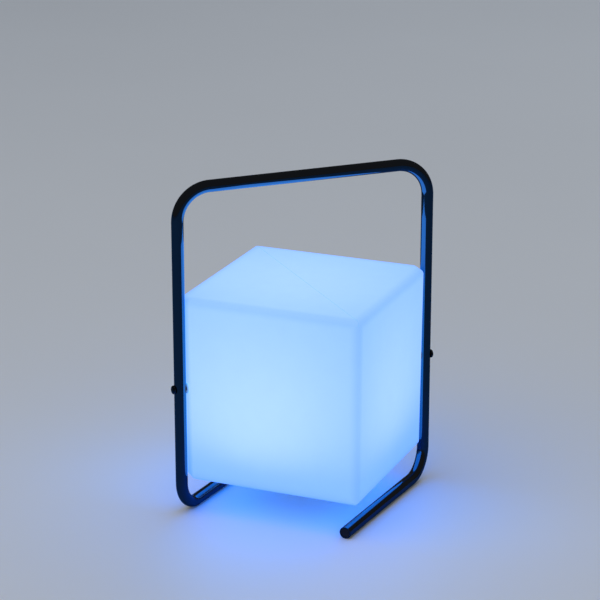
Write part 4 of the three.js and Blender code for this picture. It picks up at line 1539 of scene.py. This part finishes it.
def add_camera(stage):
    """The camera, at its angle to the cube's middle."""
    right, up, back = camera_axes(stage)
    camera = bpy.data.objects.new("studio_camera", bpy.data.cameras.new("studio_camera"))
    camera.data.lens = stage.lens
    camera.data.clip_end = 100
    camera.matrix_world = Matrix((right, up, back)).transposed().to_4x4()
    camera.location = PIVOT + right * stage.aim_side + up * stage.aim_rise + back * stage.distance
    bpy.context.scene.collection.objects.link(camera)
    bpy.context.scene.camera = camera


def add_soft_light(name, place, size, power, tint):
    """A square soft light that faces the cube's middle and shows in no reflection."""
    light = bpy.data.objects.new(name, bpy.data.lights.new(name, "AREA"))
    light.data.shape = "SQUARE"
    light.data.size = size
    light.data.energy = power
    light.data.color = tint
    light.location = place
    light.rotation_euler = (Vector(place) - PIVOT).to_track_quat("Z", "Y").to_euler()
    light.visible_glossy = False
    bpy.context.scene.collection.objects.link(light)


def add_floor(stage):
    """A plain round floor under the stand."""
    mesh = bmesh.new()
    bmesh.ops.create_circle(mesh, cap_ends=True, segments=stage.floor_sides, radius=stage.floor_radius)
    floor = as_piece("studio_floor", mesh)
    floor.data.materials.append(finish_for("studio_floor"))


def add_world(stage, tint):
    """Even light all round, weaker in reflections than on surfaces."""
    world = bpy.data.worlds.new("studio")
    world.use_nodes = True
    tree = world.node_tree
    background = tree.nodes["Background"]
    background.inputs["Color"].default_value = opaque(tint)
    mirrored = tree.nodes.new("ShaderNodeLightPath").outputs["Is Glossy Ray"]
    change = (stage.mirrored_room - 1) * stage.room_light
    strength = maths(tree, "MULTIPLY_ADD", mirrored, change, stage.room_light)
    tree.links.new(strength, background.inputs["Strength"])
    bpy.context.scene.world = world


class LANTERN_OT_stage(bpy.types.Operator):
    """Sets up the camera, the floor and the soft lights"""

    bl_idname = "lantern.stage"
    bl_label = "Stage"

    def execute(self, context):
        scene = context.scene
        stage = scene.lantern_stage
        add_camera(stage)
        add_floor(stage)
        add_world(stage, scene.lantern_colours.world)
        for light in SOFT_LIGHTS:
            add_soft_light(*light)
        scene.view_settings.view_transform = "Standard"
        return {"FINISHED"}


# ---------------------------------------------------------------- panel and registration

SETTINGS = {
    "lantern_stand": StandSizes,
    "lantern_shell": ShellSizes,
    "lantern_glow": GlowSettings,
    "lantern_pivot": PivotSizes,
    "lantern_module": ModuleSizes,
    "lantern_cells": CellSizes,
    "lantern_fits": FitSizes,
    "lantern_colours": LanternColours,
    "lantern_stage": StageSettings,
}

OPERATORS = (
    LANTERN_OT_stage,
    LANTERN_OT_carry_frame,
    LANTERN_OT_foot_plugs,
    LANTERN_OT_cube_shell,
    LANTERN_OT_pivots,
    LANTERN_OT_housing,
    LANTERN_OT_flange_screws,
    LANTERN_OT_rubber_parts,
    LANTERN_OT_lens_and_seals,
    LANTERN_OT_cells,
    LANTERN_OT_cad_finishes,
)


class LANTERN_PT_panel(bpy.types.Panel):
    """Lists the lantern's sizes, colours and steps"""

    bl_idname = "LANTERN_PT_panel"
    bl_label = "Cube Lantern"
    bl_space_type = "VIEW_3D"
    bl_region_type = "UI"
    bl_category = "Lantern"

    def draw(self, context):
        for operator in OPERATORS:
            self.layout.operator(operator.bl_idname)
        for name, group in SETTINGS.items():
            box = self.layout.box()
            box.label(text=group.__doc__)
            for key in group.__annotations__:
                box.prop(getattr(context.scene, name), key)


def register():
    """Registers the settings, the operators and the panel."""
    for group in SETTINGS.values():
        bpy.utils.register_class(group)
    for name, group in SETTINGS.items():
        setattr(bpy.types.Scene, name, PointerProperty(type=group))
    for kind in (*OPERATORS, LANTERN_PT_panel):
        bpy.utils.register_class(kind)


def unregister():
    """Removes the panel, the operators and the settings."""
    for kind in (LANTERN_PT_panel, *reversed(OPERATORS)):
        bpy.utils.unregister_class(kind)
    for name, group in SETTINGS.items():
        delattr(bpy.types.Scene, name)
        bpy.utils.unregister_class(group)


def main():
    """Builds every piece in order."""
    register()
    for operator in OPERATORS:
        group, name = operator.bl_idname.split(".")
        getattr(getattr(bpy.ops, group), name)()


if __name__ == "__main__":
    main()
